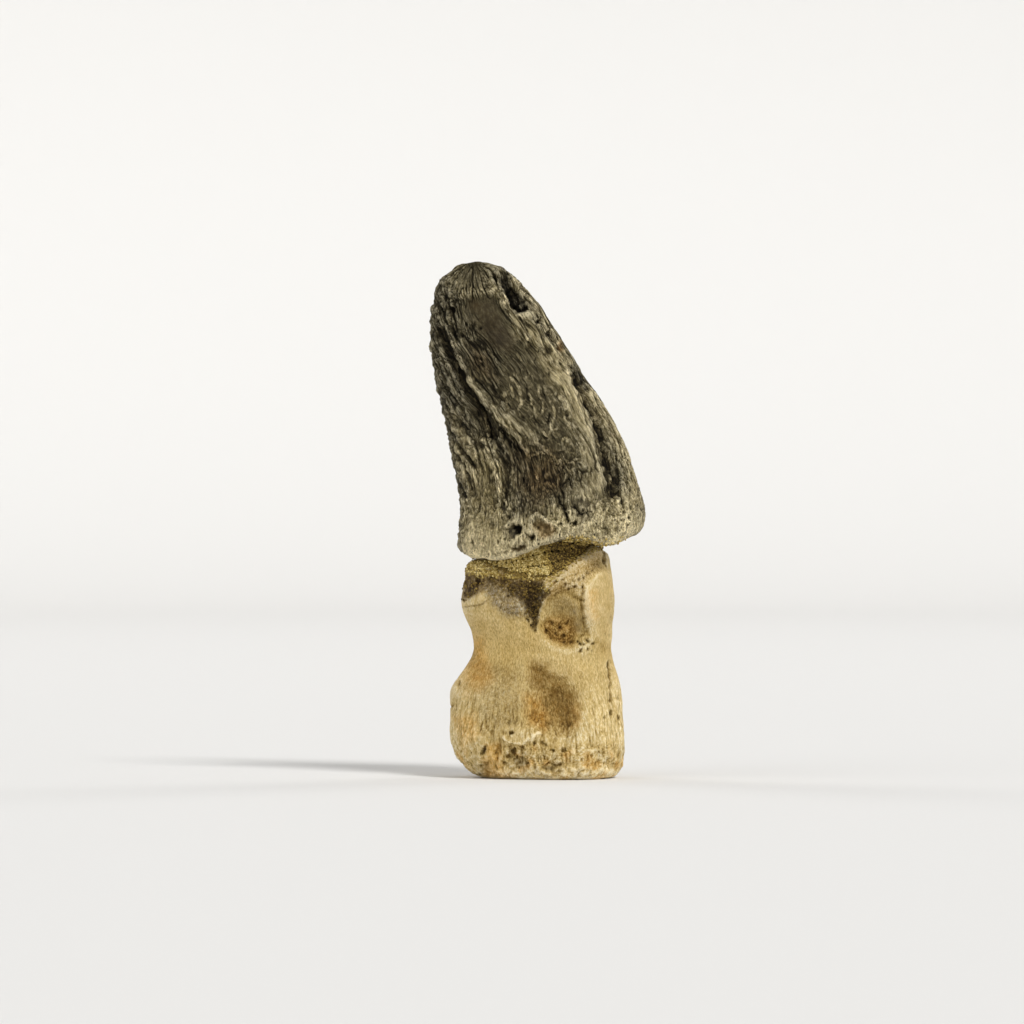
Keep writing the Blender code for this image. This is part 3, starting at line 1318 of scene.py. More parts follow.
@dataclass
class ClawCore(Bone):
    """The claw's dark core: fibrous, grooved for the blood vessels, and broken open at the tip."""

    name: str = "claw_core_skin"
    node: str = "claw_core"
    slot: str = "dark_bone"
    spine_low: Three = (3.5, 0.0, 84.0)
    spine_high: Three = (-16.5, -9.5, 140.0)
    hidden: float = 0.45
    seed: int = 11
    polish: float = 0.92
    grain_heights: tuple[float, float, int] = (40.0, 170.0, 261)
    slant_heights: tuple[float, ...] = (72.0, 84.0, 100.0, 116.0, 132.0, 144.0)
    slants: tuple[float, ...] = (0.02, 0.20, 0.46, 0.56, 0.56, 0.30)
    left_lag: float = 0.35
    wander: tuple[Lumps, ...] = (Lumps(11.0, 11.0, 1.1, octaves=1), Lumps(3.6, 3.6, 0.35, octaves=1))
    crown: Point = (-18.5, -10.5)
    crown_radius: float = 8.0
    crown_core: float = 0.4
    crown_heights: Point = (126.0, 138.0)
    band_heights: Point = (75.0, 89.0)
    level_slopes: Point = (0.60, 0.90)
    # How much of the furrows goes on the band, among the winding ridges and where the bone is level.
    furrows_lost: Three = (0.75, 0.6, 0.6)
    # How much of the pits goes in a hollow, and the scale and start of how deep one has to be.
    pits_lost: Three = (0.8, 1.6, 0.6)
    thickness: float = 0.25
    swell: Lumps = Lumps(8.0, 8.0, 0.45)
    worms: Lumps = Lumps(1.5, 2.4, shift=40.0)
    worm_edge: Point = (0.02, 0.16)
    worm_height: float = 0.42
    worm_pale: float = 0.45
    worm_lumps: float = 0.8
    teeth: tuple[Lumps, ...] = (Lumps(3.0, 2.1, 1.0, 5.0, 1), Lumps(1.6, 0.9, 0.8, 15.0, 1))
    tooth_height: float = 0.46
    granules: Lumps = Lumps(0.9, 1.1, 0.32)
    strands: Lumps = Lumps(0.75, 7.0, 0.27, 3.0)

    def grain(self, points: Array) -> Array:
        """The straightened grain, whose fibres run down from the crown, slant to the right and turn upright.

        Args:
            points: Points of the bone, in mm.

        Returns:
            Their places in the grain, in mm.
        """
        heights = np.linspace(*self.grain_heights)
        slope = np.interp(heights, self.slant_heights, self.slants)
        slide = np.concatenate([[0.0], np.cumsum((slope[1:] + slope[:-1]) / 2.0 * np.diff(heights))])
        noise = Noise(self.seed + 1)
        out = points.copy()
        off = points[..., :2] - np.array(self.crown)
        away = np.maximum(np.hypot(off[..., 0], off[..., 1]), self.crown_core)
        capped = between(points[..., 2], *self.crown_heights) * np.maximum(self.crown_radius - away, 0.0)
        out[..., :2] += off * (capped / away)[..., None]
        out[..., 2] += capped
        out[..., 0] += np.interp(points[..., 2] - self.left_lag * points[..., 0], heights, slide)
        out[..., 0] += sum(part.read(points, noise) for part in self.wander)
        return out

    def carve(self) -> None:
        """Presses the named marks, then the fibres and pits."""
        skin, noise = self.skin, Noise(self.seed)
        skin.press(CLAW_FORMS, noise)
        grain, bare = self.grain(skin.points), self.bare()
        lost, scale, start = self.pits_lost
        filled = 1.0 - lost * np.clip(skin.mask(StainAndShading.HOLLOW) * scale - start, 0.0, 1.0)
        band = 1.0 - between(skin.points[..., 2], *self.band_heights)
        wormy = np.maximum(skin.within(WORM_AREA, Side.FRONT), skin.within(BACK_WORM_AREA, Side.BACK))
        top = between(np.abs(skin.normals()[..., 2]), *self.level_slopes)
        on_band, on_worms, on_top = self.furrows_lost
        long = (1.0 - on_band * band) * (1.0 - on_worms * wormy) * (1.0 - on_top * top)
        carving = Carving(grain, noise)
        carving.sink(CLAW_FURROWS, bare * long)
        carving.sink(CLAW_PITS, bare * filled)
        carving.sink(BAND_PITS, bare * band)
        rise = carving.rise + self.thickness + self.swell.read(skin.points, noise)
        thin = 1.0 - between(np.abs(self.worms.read(grain, noise)), *self.worm_edge)
        rise += self.worm_height * thin * wormy * bare
        skin.stain(StainAndShading.PALE, self.worm_pale * thin * wormy * bare)
        teeth = sum(part.read(skin.points, noise) for part in self.teeth)
        rise += self.tooth_height * teeth * skin.within(MARGIN_AREA, Side.ROUND)
        lumpy = np.maximum(band, self.worm_lumps * wormy)
        granules, strands = self.granules.read(grain, noise), self.strands.read(grain, noise)
        rise += (granules * lumpy + strands * (1.0 - lumpy)) * bare
        skin.lift(rise * skin.room())
        # The furrows' and pits' darkness goes to the HOLLOW mask as painted shade in them.
        skin.stain(StainAndShading.HOLLOW, carving.dark)


@dataclass
class ToeBone(Bone):
    """The golden toe bone: waisted, with a ligament pit beside each roller of its head."""

    name: str = "toe_bone_skin"
    node: str = "toe_bone"
    slot: str = "golden_bone"
    spine_low: Three = (0.5, 0.0, 17.0)
    spine_high: Three = (0.5, 0.0, 50.0)
    hidden: float = 0.6
    seed: int = 23
    polish: float = 0.9
    heights: tuple[float, ...] = (0.0, 12.0, 22.0, 34.0, 44.0, 70.0)
    widths: tuple[float, ...] = (25.5, 25.0, 22.5, 19.5, 19.5, 20.5)
    straight_width: float = 22.0
    streak_heights: Point = (14.0, 32.0)
    foot_heights: Point = (7.0, 12.5)
    # How strong the streaks and the gravel are everywhere, and how much more at their strongest.
    streak_shares: Point = (0.12, 0.88)
    gravel_shares: Point = (0.18, 0.82)
    rough_ash: float = 0.8
    rough_pits: float = 0.8
    swell: Lumps = Lumps(7.0, 7.0, 0.30)
    gravel: Lumps = Lumps(1.2, 1.2, 0.30)
    foot_swell: Lumps = Lumps(3.0, 3.0, 0.55, 7.0)
    warmth: Lumps = Lumps(3.4, 3.4, 1.0, 23.0, 1)
    # How strong the foot's stains are, and the warmth or coolness at which each starts and is full.
    warm_rust: Three = (0.65, 0.05, 0.55)
    cool_ash: Three = (0.28, 0.10, 0.60)

    def grain(self, points: Array) -> Array:
        """The straightened grain, whose streaks run up the bone and fan out with it at the base.

        Args:
            points: Points of the bone, in mm.

        Returns:
            Their places in the grain, in mm.
        """
        spread = np.interp(points[..., 2], self.heights, self.widths)
        out = points.copy()
        out[..., :2] *= self.straight_width / spread[..., None]
        return out

    def carve(self) -> None:
        """Presses the named marks, then the streaks and pits."""
        skin, noise = self.skin, Noise(self.seed)
        skin.press(TOE_FORMS, noise)
        bare = self.bare()
        low = 1.0 - between(skin.points[..., 2], *self.streak_heights)
        foot = 1.0 - between(skin.points[..., 2], *self.foot_heights)
        rough = skin.mask(StainAndShading.ASH) * self.rough_ash + skin.mask(StainAndShading.HOLLOW) + skin.mask(StainAndShading.UMBER)
        rough = np.clip(rough, 0.0, 1.0)
        least, more = self.streak_shares
        carving = Carving(self.grain(skin.points), noise)
        carving.sink(TOE_FURROWS, bare * (least + more * low))
        carving.sink(FOOT_PITS, bare * np.clip(foot + self.rough_pits * rough, 0.0, 1.0))
        carving.sink(TOE_PITS, bare)
        least, more = self.gravel_shares
        rise = carving.rise + self.swell.read(skin.points, noise)
        rise += self.gravel.read(skin.points, noise) * (least + more * np.maximum(foot, rough)) * bare
        rise += self.foot_swell.read(skin.points, noise) * foot
        warm = self.warmth.read(skin.points, noise) * foot
        for stain, side, (amount, *ends) in (
            (StainAndShading.RUST, warm, self.warm_rust), (StainAndShading.ASH, -warm, self.cool_ash),
        ):
            skin.stain(stain, amount * between(side, *ends))
        skin.lift(rise * skin.room())
        # The furrows' and pits' darkness goes to the HOLLOW mask as painted shade in them.
        skin.stain(StainAndShading.HOLLOW, carving.dark)


@dataclass(frozen=True)
class SandFinish:
    """Sand grains in a golden brown cement."""

    name: str = "golden sandstone"
    bed: Colour = (0.235, 0.152, 0.032)
    dark: Colour = (0.055, 0.032, 0.006)
    grain: Colour = (0.490, 0.350, 0.088)
    bright: Colour = (0.930, 0.760, 0.340)
    roughness: float = 0.6
    specular: float = 0.2
    fine_mm: float = 0.12
    flecks: Mottle = Mottle(2.6, 2.6, 2.0, 1.2)
    fleck_range: Point = (0.1, 0.7)
    fleck_strength: float = 0.30
    tone_stops: tuple[float, ...] = (0.05, 0.30, 0.62, 0.95)

    def build(self, effects: Effects) -> bpy.types.Material:
        """Makes the material.

        Args:
            effects: The node groups that it draws on.

        Returns:
            The material.
        """
        graph = FinishGraph(self.name, effects)
        stops = zip(self.tone_stops, (self.dark, self.bed, self.grain, self.bright))
        flecks = graph.mottle(self.flecks)
        # The tone carries the painted shadow under the claw.
        colour = graph.ramp(graph.attribute("tone"), *stops)
        share = graph.levels(flecks, *self.fleck_range, (self.fleck_strength, 0.0))
        colour = graph.mix(share, colour, self.dark)
        graph.shader.inputs["Roughness"].default_value = self.roughness
        return graph.coat(colour, flecks, self.fine_mm, self.specular)


def taken_from(net: bmesh.types.BMesh) -> tuple[Array, Array]:
    """Reads a net's points, and its triangles as rows of point numbers, and frees the net.

    Args:
        net: The net, all of triangles.

    Returns:
        The points, and the triangles.
    """
    net.verts.index_update()
    points = np.array([vert.co[:] for vert in net.verts])
    faces = np.array([[vert.index for vert in face.verts] for face in net.faces])
    net.free()
    return points, faces


def face_normals(points: Array, faces: Array) -> Array:
    """Each triangle's outward direction, twice as long as its area."""
    first, second, third = (points[faces[:, corner]] for corner in range(3))
    return np.cross(second - first, third - first)


@dataclass
class JointSandstone:
    """The sandstone left in the joint: a crumbly bed with its sand grains standing out of it."""

    name: str = "joint_sandstone_bed"
    node: str = "joint_sandstone"
    slot: str = "sandstone"
    step: float = 0.55
    rounds: int = 5
    cover: float = 0.75
    swell: Lumps = Lumps(2.6, 2.6, 0.55, octaves=3)
    sunk: float = 0.10
    bed_tone: float = 0.27
    bed_mottle: Lumps = Lumps(0.8, 0.8, 0.12, octaves=1)
    # How much the painted shadow under the claw darkens the bed.
    bed_shade: float = 0.24
    grain_count: int = 5200
    grain_size: Point = (0.22, 0.42)
    grain_stretch: Point = (0.7, 1.25)
    grain_lumps: Point = (0.86, 1.14)
    # The darkest tone of a grain, how much brighter they get, and how rare the bright ones are.
    grain_tone: Three = (0.42, 0.60, 1.1)
    grain_mottle: Lumps = Lumps(3.0, 3.0, 0.12, octaves=1)
    # How much the painted shadow under the claw darkens the grains.
    grain_shade: float = 0.52
    # How many grains are dark ones, and how much of its tone a dark one keeps.
    dark_grains: Point = (0.06, 0.4)
    darkest: float = 0.02
    seed: int = 5

    def build(self, nodes: Nodes, skins: dict[str, Skin], finish: bpy.types.Material) -> None:
        """Makes the bed and its grains as one piece.

        Args:
            nodes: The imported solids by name.
            skins: The bones' finished skins by node.
            finish: The sandstone's material.
        """
        points, faces = self._bed(nodes[self.node])
        noise = Noise(self.seed)
        normals, outward = np.zeros(points.shape), face_normals(points, faces)
        for corner in range(3):
            np.add.at(normals, faces[:, corner], outward)
        normals /= np.maximum(np.linalg.norm(normals, axis=1, keepdims=True), 1e-12)
        open_side = self._open(points, nodes)
        points = points + normals * (self.swell.read(points, noise) * open_side - self.sunk)[:, None]
        # The bed's tone, darker where painted shadow falls under the claw.
        tone = self.bed_tone + self.bed_mottle.read(points, noise) - self.bed_shade * self._shade(points)
        tone = np.clip(tone, 0.0, 1.0)
        draw = np.random.default_rng(self.seed)
        spots = [self._bed_places(points, faces, open_side, noise, draw)]
        spots += [crumbs.scatter(skins[crumbs.node], draw) for crumbs in CRUMBS]
        centres, tones = (np.concatenate(part) for part in zip(*spots))
        balls, ball_faces = self._grains(centres, draw)
        points = np.concatenate([points, balls.reshape(-1, 3)])
        faces = np.concatenate([faces, ball_faces.reshape(-1, 3) + len(tone)])
        tone = np.concatenate([tone, np.repeat(tones, balls.shape[1])])
        made = make_object(self.name, points, (faces,), {"tone": tone}, points)
        hand_over(made, self.node, finish)

    def _bed(self, node: bpy.types.Object) -> tuple[Array, Array]:
        """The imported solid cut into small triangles, in mm.

        Args:
            node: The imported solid's object.

        Returns:
            Its points and its triangles.
        """
        net = bmesh.new()
        net.from_mesh(node.data)
        net.transform(node.matrix_world)
        for _ in range(self.rounds):
            long = [edge for edge in net.edges if edge.calc_length() > self.step * 2.0 * MM]
            bmesh.ops.subdivide_edges(net, edges=long, cuts=1)
            bmesh.ops.triangulate(net, faces=net.faces)
        axes = {"use_axis_x": True, "use_axis_y": True, "use_axis_z": True}
        bmesh.ops.smooth_vert(net, verts=net.verts, factor=0.5, **axes)
        bmesh.ops.recalc_face_normals(net, faces=net.faces)
        points, faces = taken_from(net)
        return points / MM, faces

    def _open(self, points: Array, nodes: Nodes) -> Array:
        """Which points have no bone close over them, as 0 or 1.

        Args:
            points: Points of the sandstone, in mm.
            nodes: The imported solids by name.

        Returns:
            A number for each point.
        """
        graph = bpy.context.evaluated_depsgraph_get()
        trees = [BVHTree.FromObject(nodes[name], graph) for name in ("claw_core", "toe_bone")]
        near = [
            any(tree.find_nearest(Vector(point) * MM, self.cover * MM)[0] is not None for tree in trees)
            for point in points
        ]
        return 1.0 - np.array(near)

    @staticmethod
    def _shade(points: Array) -> Array:
        """How much painted shadow lies on the sand under the claw's right lobe, from 0 to 1."""
        return SAND_SHADE.weigh(SHEET.read(points)) * (points[:, 1] < 0.0)

    def _bed_places(
        self, points: Array, faces: Array, open_side: Array, noise: Noise, draw: np.random.Generator
    ) -> tuple[Array, Array]:
        """Scatters sand grains over the open parts of the bed.

        Args:
            points: The bed's points.
            faces: The bed's triangles.
            open_side: For each point, 1 where no bone covers it.
            noise: The pattern that gathers the bright ones.
            draw: The source of chance.

        Returns:
            The grains' middles and their tones.
        """
        areas = np.linalg.norm(face_normals(points, faces), axis=1) / 2.0
        shares = areas * open_side[faces].mean(axis=1) ** 2
        at = points[faces[draw.choice(len(faces), self.grain_count, p=shares / shares.sum())]]
        first, second = draw.random((2, self.grain_count))
        over = first + second > 1.0
        first, second = np.where(over, 1.0 - first, first), np.where(over, 1.0 - second, second)
        centres = at[:, 0] + first[:, None] * (at[:, 1] - at[:, 0]) + second[:, None] * (at[:, 2] - at[:, 0])
        least, more, power = self.grain_tone
        tone = least + more * draw.random(self.grain_count) ** power + self.grain_mottle.read(centres, noise)
        share, dimmed = self.dark_grains
        tone = np.where(draw.random(self.grain_count) < share, tone * dimmed, tone)
        # Grains in the painted shadow under the claw are darkened.
        return centres, np.clip(tone - self.grain_shade * self._shade(centres), self.darkest, 1.0)

    def _grains(self, centres: Array, draw: np.random.Generator) -> tuple[Array, Array]:
        """Makes a lumpy ball at each place.

        Args:
            centres: The grains' middles.
            draw: The source of chance.

        Returns:
            Their points and their triangles, one grain a row.
        """
        net = bmesh.new()
        bmesh.ops.create_icosphere(net, subdivisions=1, radius=1.0)
        ball, faces = taken_from(net)
        count = len(centres)
        shape = draw.uniform(*self.grain_size, (count, 1)) * draw.uniform(*self.grain_stretch, (count, 3))
        local = ball * shape[:, None] * draw.uniform(*self.grain_lumps, (count, len(ball), 1))
        turn = draw.normal(size=(count, 1, 4))
        turn /= np.linalg.norm(turn, axis=2, keepdims=True)
        once = np.cross(turn[..., 1:], local)
        local = local + 2.0 * (turn[..., :1] * once + np.cross(turn[..., 1:], once))
        return local + centres[:, None], (np.arange(count) * len(ball))[:, None, None] + faces


@dataclass(frozen=True)
class Crumbs:
    """Sand grains that stick to a bone, inside an outline on the sheet whose edge fades over some mm."""

    node: str
    count: int
    tone: Point
    soft: float
    outline: tuple[float, ...]
    side: Side = Side.FRONT
    jitter: float = 0.07

    def scatter(self, skin: Skin, draw: np.random.Generator) -> tuple[Array, Array]:
        """Picks where the grains stick.

        Args:
            skin: The bone's finished skin.
            draw: The source of chance.

        Returns:
            The grains' middles and their tones.
        """
        points = skin.points.reshape(-1, 3)
        weight = skin.within(Patch(pairs(*self.outline), self.soft), self.side).ravel()
        chosen = draw.choice(len(points), self.count, p=weight / weight.sum())
        jitter = draw.normal(scale=self.jitter, size=(self.count, 3))
        return points[chosen] + jitter, draw.uniform(*self.tone, self.count)


CRUMBS = (
    Crumbs("claw_core", 60, (0.5, 1.0), 0.8, (600, 541, 612, 538, 626, 538, 620, 545, 606, 552)),
    Crumbs("claw_core", 380, (0.3, 0.95), 1.2, (562, 541, 575, 536, 594, 538, 602, 548, 580, 546)),
    # The next two: near-black crumbs, painted shade in the wedge between the rollers and under the claw's
    # left lip.
    Crumbs("toe_bone", 130, (0.02, 0.28), 1.2, (522, 584, 540, 586, 540, 604, 536, 622, 534, 630, 528, 618)),
    Crumbs("toe_bone", 70, (0.02, 0.45), 0.8, (464, 578, 480, 576, 482, 585, 470, 598, 464, 600)),
    Crumbs("toe_bone", 220, (0.20, 0.85), 0.7, (496, 573, 540, 575, 556, 572, 540, 580, 500, 577)),
    Crumbs("toe_bone", 220, (0.30, 0.85), 0.6, (540, 588, 556, 570, 580, 554, 600, 545, 603, 549, 582, 560,
                                                562, 574, 546, 592)),
    # Near-black crumbs: painted shadow below the sandstone.
    Crumbs("toe_bone", 90, (0.02, 0.30), 1.2, (490, 578, 530, 582, 540, 590, 520, 598, 498, 588)),
    Crumbs("toe_bone", 200, (0.2, 0.85), 0.8, (490, 572, 560, 570, 570, 576, 530, 580), Side.BACK),
    Crumbs("toe_bone", 420, (0.3, 0.95), 0.8, (465, 562, 482, 561, 496, 569, 498, 577, 480, 576, 466, 574)),
)
# Where the sand lies in painted shadow under the claw's right lobe.
SAND_SHADE = Patch(pairs(541, 546, 560, 540, 588, 545, 580, 556, 560, 570, 552, 574, 548, 562), soft=1.4)

WORM_AREA = Patch(pairs(500, 378, 530, 362, 556, 384, 572, 404, 586, 440, 586, 470, 566, 478, 540, 462,
                        528, 440, 512, 420, 500, 400), soft=3.0)
BACK_WORM_AREA = Patch(pairs(510, 380, 550, 380, 576, 430, 580, 480, 540, 496, 514, 440), soft=3.0)
MARGIN_AREA = Patch(pairs(428, 280, 446, 274, 444, 300, 440, 340, 446, 386, 458, 424, 466, 460, 472, 505,
                          466, 545, 452, 545, 450, 480, 440, 420, 426, 360), soft=1.2)

# In these tables, hollow and shade on pits, cracks, grooves and hollows are painted shade, and pale on
# ridges, rims and lit sides is partly painted highlight.
CLAW_FRONT: Marks = (
    # left valley, with painted shade in it and darker still in its bed
    line(436, 326, 447, 348, 456, 366, 466, 386, 476, 402, 486, 420, 494, 440, width=1.7, rise=-1.2,
         shade=1.0),
    line(441, 342, 449, 354, 457, 366, 464, 380, 470, 390, 479, 404, 486, 417, width=0.75, rise=-0.7,
         hollow=0.5),
    # long ridge
    line(450, 338, 458, 352, 465, 368, 473, 384, width=0.7, rise=0.7, pale=0.25),
    line(466, 376, 474, 388, 484, 399, 497, 409, 510, 418, 524, 430, 538, 443, width=1.5, rise=1.2,
         pale=0.32, smooth=0.45),
    line(488, 408, 500, 419, 512, 432, 521, 443, 531, 454, width=1.0, rise=0.7, pale=0.3, smooth=0.2),
    *lines((503, 418, 509, 432, 513, 446, 517, 462), (508, 420, 517, 434, 524, 448, 530, 462),
           (500, 420, 503, 436, 505, 452, 508, 466), (530, 438, 541, 447, 553, 456, 560, 466), width=0.32,
           rise=0.45, pale=0.43),
    area(496, 414, 508, 418, 520, 430, 520, 438, 509, 432, 499, 424, soft=1.0, rise=0.3, pale=0.45),
    line(499, 406, 512, 416, 523, 427, 532, 439, 541, 450, width=0.3, rise=-0.45, hollow=0.35),
    # fibre bundles
    line(468, 391, 477, 403, 482, 416, 487, 432, 493, 448, 500, 470, width=0.5, rise=0.6, pale=0.45),
    *lines((474, 396, 484, 412, 492, 430, 503, 452, 508, 475, 510, 500),
           (496, 440, 503, 462, 507, 486, 505, 502), (513, 436, 521, 452, 525, 470, 524, 490), width=0.35,
           rise=-0.47, hollow=0.55),
    line(481, 436, 488, 452, 494, 468, 499, 488, 500, 508, width=0.75, rise=0.6, pale=0.4),
    # margin cracks
    *lines((454, 419, 463, 428, 474, 441, 479, 457), (447, 424, 456, 440, 466, 455, 473, 468),
           (441, 395, 450, 410, 462, 424, 473, 433), (452, 445, 460, 460, 468, 477, 474, 493),
           (455, 470, 462, 488, 468, 505), (436, 318, 443, 335, 450, 349), (467, 454, 472, 463, 475, 470),
           (450, 322, 457, 338, 462, 350), (444, 292, 446, 306, 445, 318), (461, 460, 468, 474, 474, 484),
           width=0.36, rise=-0.58, hollow=0.76),
    *lines((437, 372, 446, 388, 457, 402, 466, 412), (434, 345, 441, 360, 450, 376, 458, 392, 462, 400),
           width=0.32, rise=-0.55, hollow=0.47),
    # margin plates
    area(446, 402, 456, 412, 470, 440, 464, 446, 452, 428, soft=0.9, pale=0.5, smooth=0.5),
    area(452, 442, 462, 450, 472, 478, 464, 480, 456, 462, soft=0.9, pale=0.45, smooth=0.4),
    # winding ridges
    *lines((508, 374, 513, 381, 518, 387, 521, 396, 521, 405, 518, 413), (503, 390, 505, 400, 509, 409),
           (537, 386, 539, 394, 543, 402, 543, 410, 539, 418), (517, 351, 519, 357, 522, 362),
           (548, 436, 551, 431, 556, 430, 558, 426), (541, 431, 545, 433, 550, 437, 548, 443),
           (553, 404, 555, 412, 553, 420, 550, 432), (561, 443, 564, 437, 568, 440, 566, 446),
           (570, 459, 575, 460, 580, 457), (576, 468, 580, 472, 578, 478),
           (526, 455, 533, 455, 540, 452, 546, 452), (530, 468, 533, 474, 538, 480),
           (510, 385, 512, 392, 512, 400), (558, 457, 562, 463, 561, 472), (534, 405, 534, 412, 537, 420),
           (563, 412, 566, 420, 571, 428, 575, 436), (528, 392, 531, 399, 531, 407), width=0.21, rise=0.4,
           pale=0.72),
    # winding pockets
    *lines((541, 386, 545, 395, 547, 402), (514, 377, 518, 383, 520, 387), (498, 388, 500, 396, 506, 404),
           (549, 412, 548, 422, 545, 428), width=0.51, rise=-0.65, hollow=0.66),
    *lines((534, 418, 539, 424, 540, 430), (525, 384, 527, 394, 528, 404), width=0.85, rise=-0.5,
           hollow=0.43),
    dot(561, 452, 1.1, 0.7, rise=-0.4, hollow=0.4),
    # middle hollow: painted shade in it, over darker bone
    area(505, 350, 530, 345, 552, 372, 560, 400, 572, 430, 576, 452, 556, 462, 538, 444, 515, 420, 500, 395,
         soft=2.4, rise=-0.7, shade=0.3, smooth=0.5),
    area(516, 448, 545, 452, 570, 462, 566, 486, 545, 500, 522, 498, 512, 474, soft=5.0, rise=-0.5,
         shade=0.5, rust=0.15),
    # reddish stains
    area(524, 462, 550, 460, 558, 486, 540, 500, 524, 490, soft=4.5, rust=0.35, pale=0.25),
    area(470, 345, 486, 352, 498, 380, 484, 380, 470, 365, soft=2.0, rust=0.3),
    # vessel groove, with painted shade in it
    line(573, 370, 579, 386, 587, 401, 594, 415, 598, 429, 601, 443, 606, 458, 611, 474, 613, 490, 614, 500,
         width=1.7, rise=-1.1, shade=0.8, grainy=0.5),
    line(564, 368, 571, 384, 579, 402, 586, 420, 590, 438, 595, 455, 600, 470, 604, 486, width=1.2,
         rise=0.6, pale=0.3, smooth=0.45),
    # vessel pockets, with painted shade in them
    *lines((575, 376, 579, 386, 584, 393), (585, 400, 590, 409, 594, 414), (593, 424, 599, 427, 602, 422),
           (598, 434, 601, 445, 605, 455), width=0.75, rise=-0.73, hollow=0.41),
    *lines((609, 464, 614, 474, 616, 486), (604, 470, 607, 482, 608, 494), (615, 466, 618, 474, 619, 484),
           width=0.5, rise=-0.57, hollow=0.45),
    # vessel ribs
    *lines((582, 391, 589, 402, 595, 414, 598, 426), (595, 428, 598, 442, 603, 458),
           (609, 470, 611, 482, 611, 496), (588, 416, 593, 419, 600, 416), (606, 446, 609, 456, 612, 466),
           width=0.36, rise=0.66, pale=0.41),
    # grooves beside the vessel groove
    *lines((600, 404, 610, 424, 617, 444, 622, 462), (622, 466, 626, 482, 628, 500),
           (570, 376, 577, 392, 583, 410, 586, 428), (588, 440, 592, 456, 598, 474),
           (556, 392, 563, 406, 570, 420, 574, 434), (560, 386, 568, 402, 575, 414), width=0.3, rise=-0.43,
           hollow=0.5),
    # right strips, paler with painted light on the side where the light falls, two streaks stained with sand
    line(588, 388, 602, 408, 613, 430, 622, 452, 630, 474, 638, 500, width=2.6, rise=0.4, pale=0.7,
         grainy=0.6),
    line(600, 396, 616, 426, 628, 458, 638, 492, width=1.5, pale=0.35, grainy=0.4),
    *lines((606, 418, 612, 432, 616, 444), (631, 478, 636, 495), width=0.9, sand=0.45),
    line(548, 352, 558, 374, 569, 398, 579, 424, 584, 448, 592, 470, 598, 492, width=2.3, rise=0.3,
         pale=0.42, smooth=0.45),
    line(512, 276, 522, 290, 534, 306, 546, 326, 560, 352, 570, 368, width=2.0, rise=0.4, pale=0.6),
    area(516, 316, 545, 335, 566, 362, 584, 396, 584, 430, 574, 420, 556, 388, 536, 360, 516, 336, soft=2.6,
         pale=0.5, smooth=0.2),
    # tip cavity, near black with painted shade inside
    area(500, 270, 506, 272, 512, 282, 518, 292, 514, 300, 506, 292, 501, 281, soft=0.8, rise=-2.4,
         hollow=1.0),
    line(506, 288, 510, 296, 515, 304, 519, 309, width=1.25, rise=-2.8, hollow=1.0),
    line(514, 303, 520, 309, 530, 308, width=0.85, rise=-1.8, hollow=1.0),
    area(504, 280, 511, 288, 521, 297, 530, 306, 530, 311, 517, 312, 509, 302, soft=0.5, rise=-0.6,
         hollow=0.8),
    line(487, 293, 496, 292, 502, 298, 507, 307, 514, 315, 530, 315, width=0.9, rise=0.3, pale=0.3),
    *lines((494, 272, 495, 280, 497, 287), (498, 271, 499, 279, 501, 287), width=0.35, rise=-0.65,
           hollow=0.75),
    line(496, 271, 497, 280, 499, 288, width=0.25, rise=0.4, pale=0.6),
    # edge holes, near black with painted shade, a painted highlight on one's lower wall, and a rust spot
    dot(538, 322, 0.75, 0.9, rise=-1.8, hollow=1.0),
    dot(538, 326, 0.5, 0.5, rise=0.2, pale=0.9),
    line(547, 330, 551, 337, 556, 343, width=0.75, rise=-1.8, hollow=1.0),
    dot(560, 347, 1.0, 1.3, rise=-0.4, rust=0.8),
    # pits, near black with painted shade
    *dots((480.5, 328, 0.42), (482, 281, 0.7, 0.45), (462, 289, 0.45, 0.6), (442, 311, 0.5),
          (454, 309, 0.45, 1.0), (443, 330, 0.4), (456, 332, 0.45, 0.7), (542, 338, 0.4),
          (539, 351, 0.35, 0.5), (535, 360, 0.35, 0.55), (491, 471, 0.5, 0.6), (539, 480, 0.42),
          (561, 524, 0.5), rise=-0.72, hollow=0.91),
    *lines((480, 359, 484, 365, 486, 369), (492, 353, 495, 358), (498, 364, 502, 369),
           (437, 306, 441, 308, 443, 312), width=0.37, rise=-0.62, hollow=0.88),
    *dots((559, 364, 0.3), (544, 376, 0.3, 0.45), (550, 374, 0.3, 0.6), (493, 386, 0.35),
          (457, 278, 0.4, 0.6), (452, 290, 0.35, 0.7), rise=-0.48, hollow=0.78),
    line(459, 304, 463, 305, width=0.3, rise=-0.4, hollow=0.8),
    # smooth patch
    *lines((456, 296, 468, 294, 480, 293, 492, 291, 502, 296, 509, 306),
           (498, 292, 508, 306, 518, 322, 530, 342), width=1.3, rise=0.4, pale=0.46),
    area(468, 302, 478, 298, 490, 300, 499, 308, 505, 322, 514, 338, 510, 349, 494, 346, 483, 336, 474, 322,
         soft=3.0, rise=-0.15, smooth=0.94, shade=0.95, hollow=0.3, umber=0.15),
    dot(475, 305, 2.2, 1.6, lean=-20.0, umber=0.35, shade=0.5),
    area(484, 320, 498, 322, 508, 330, 516, 342, 508, 351, 494, 348, 484, 336, soft=2.2, shade=1.0,
         umber=0.25, hollow=0.38),
    # low right patch
    area(572, 486, 582, 478, 594, 476, 598, 494, 584, 499, 568, 500, soft=2.2, rise=0.1, pale=0.22,
         smooth=0.5),
    # low band
    area(462, 510, 486, 514, 506, 522, 530, 514, 552, 512, 570, 508, 604, 496, 640, 486, 645, 530, 604, 552,
         560, 545, 500, 562, 462, 562, soft=5.0, rise=0.2, pale=0.92, grainy=0.8),
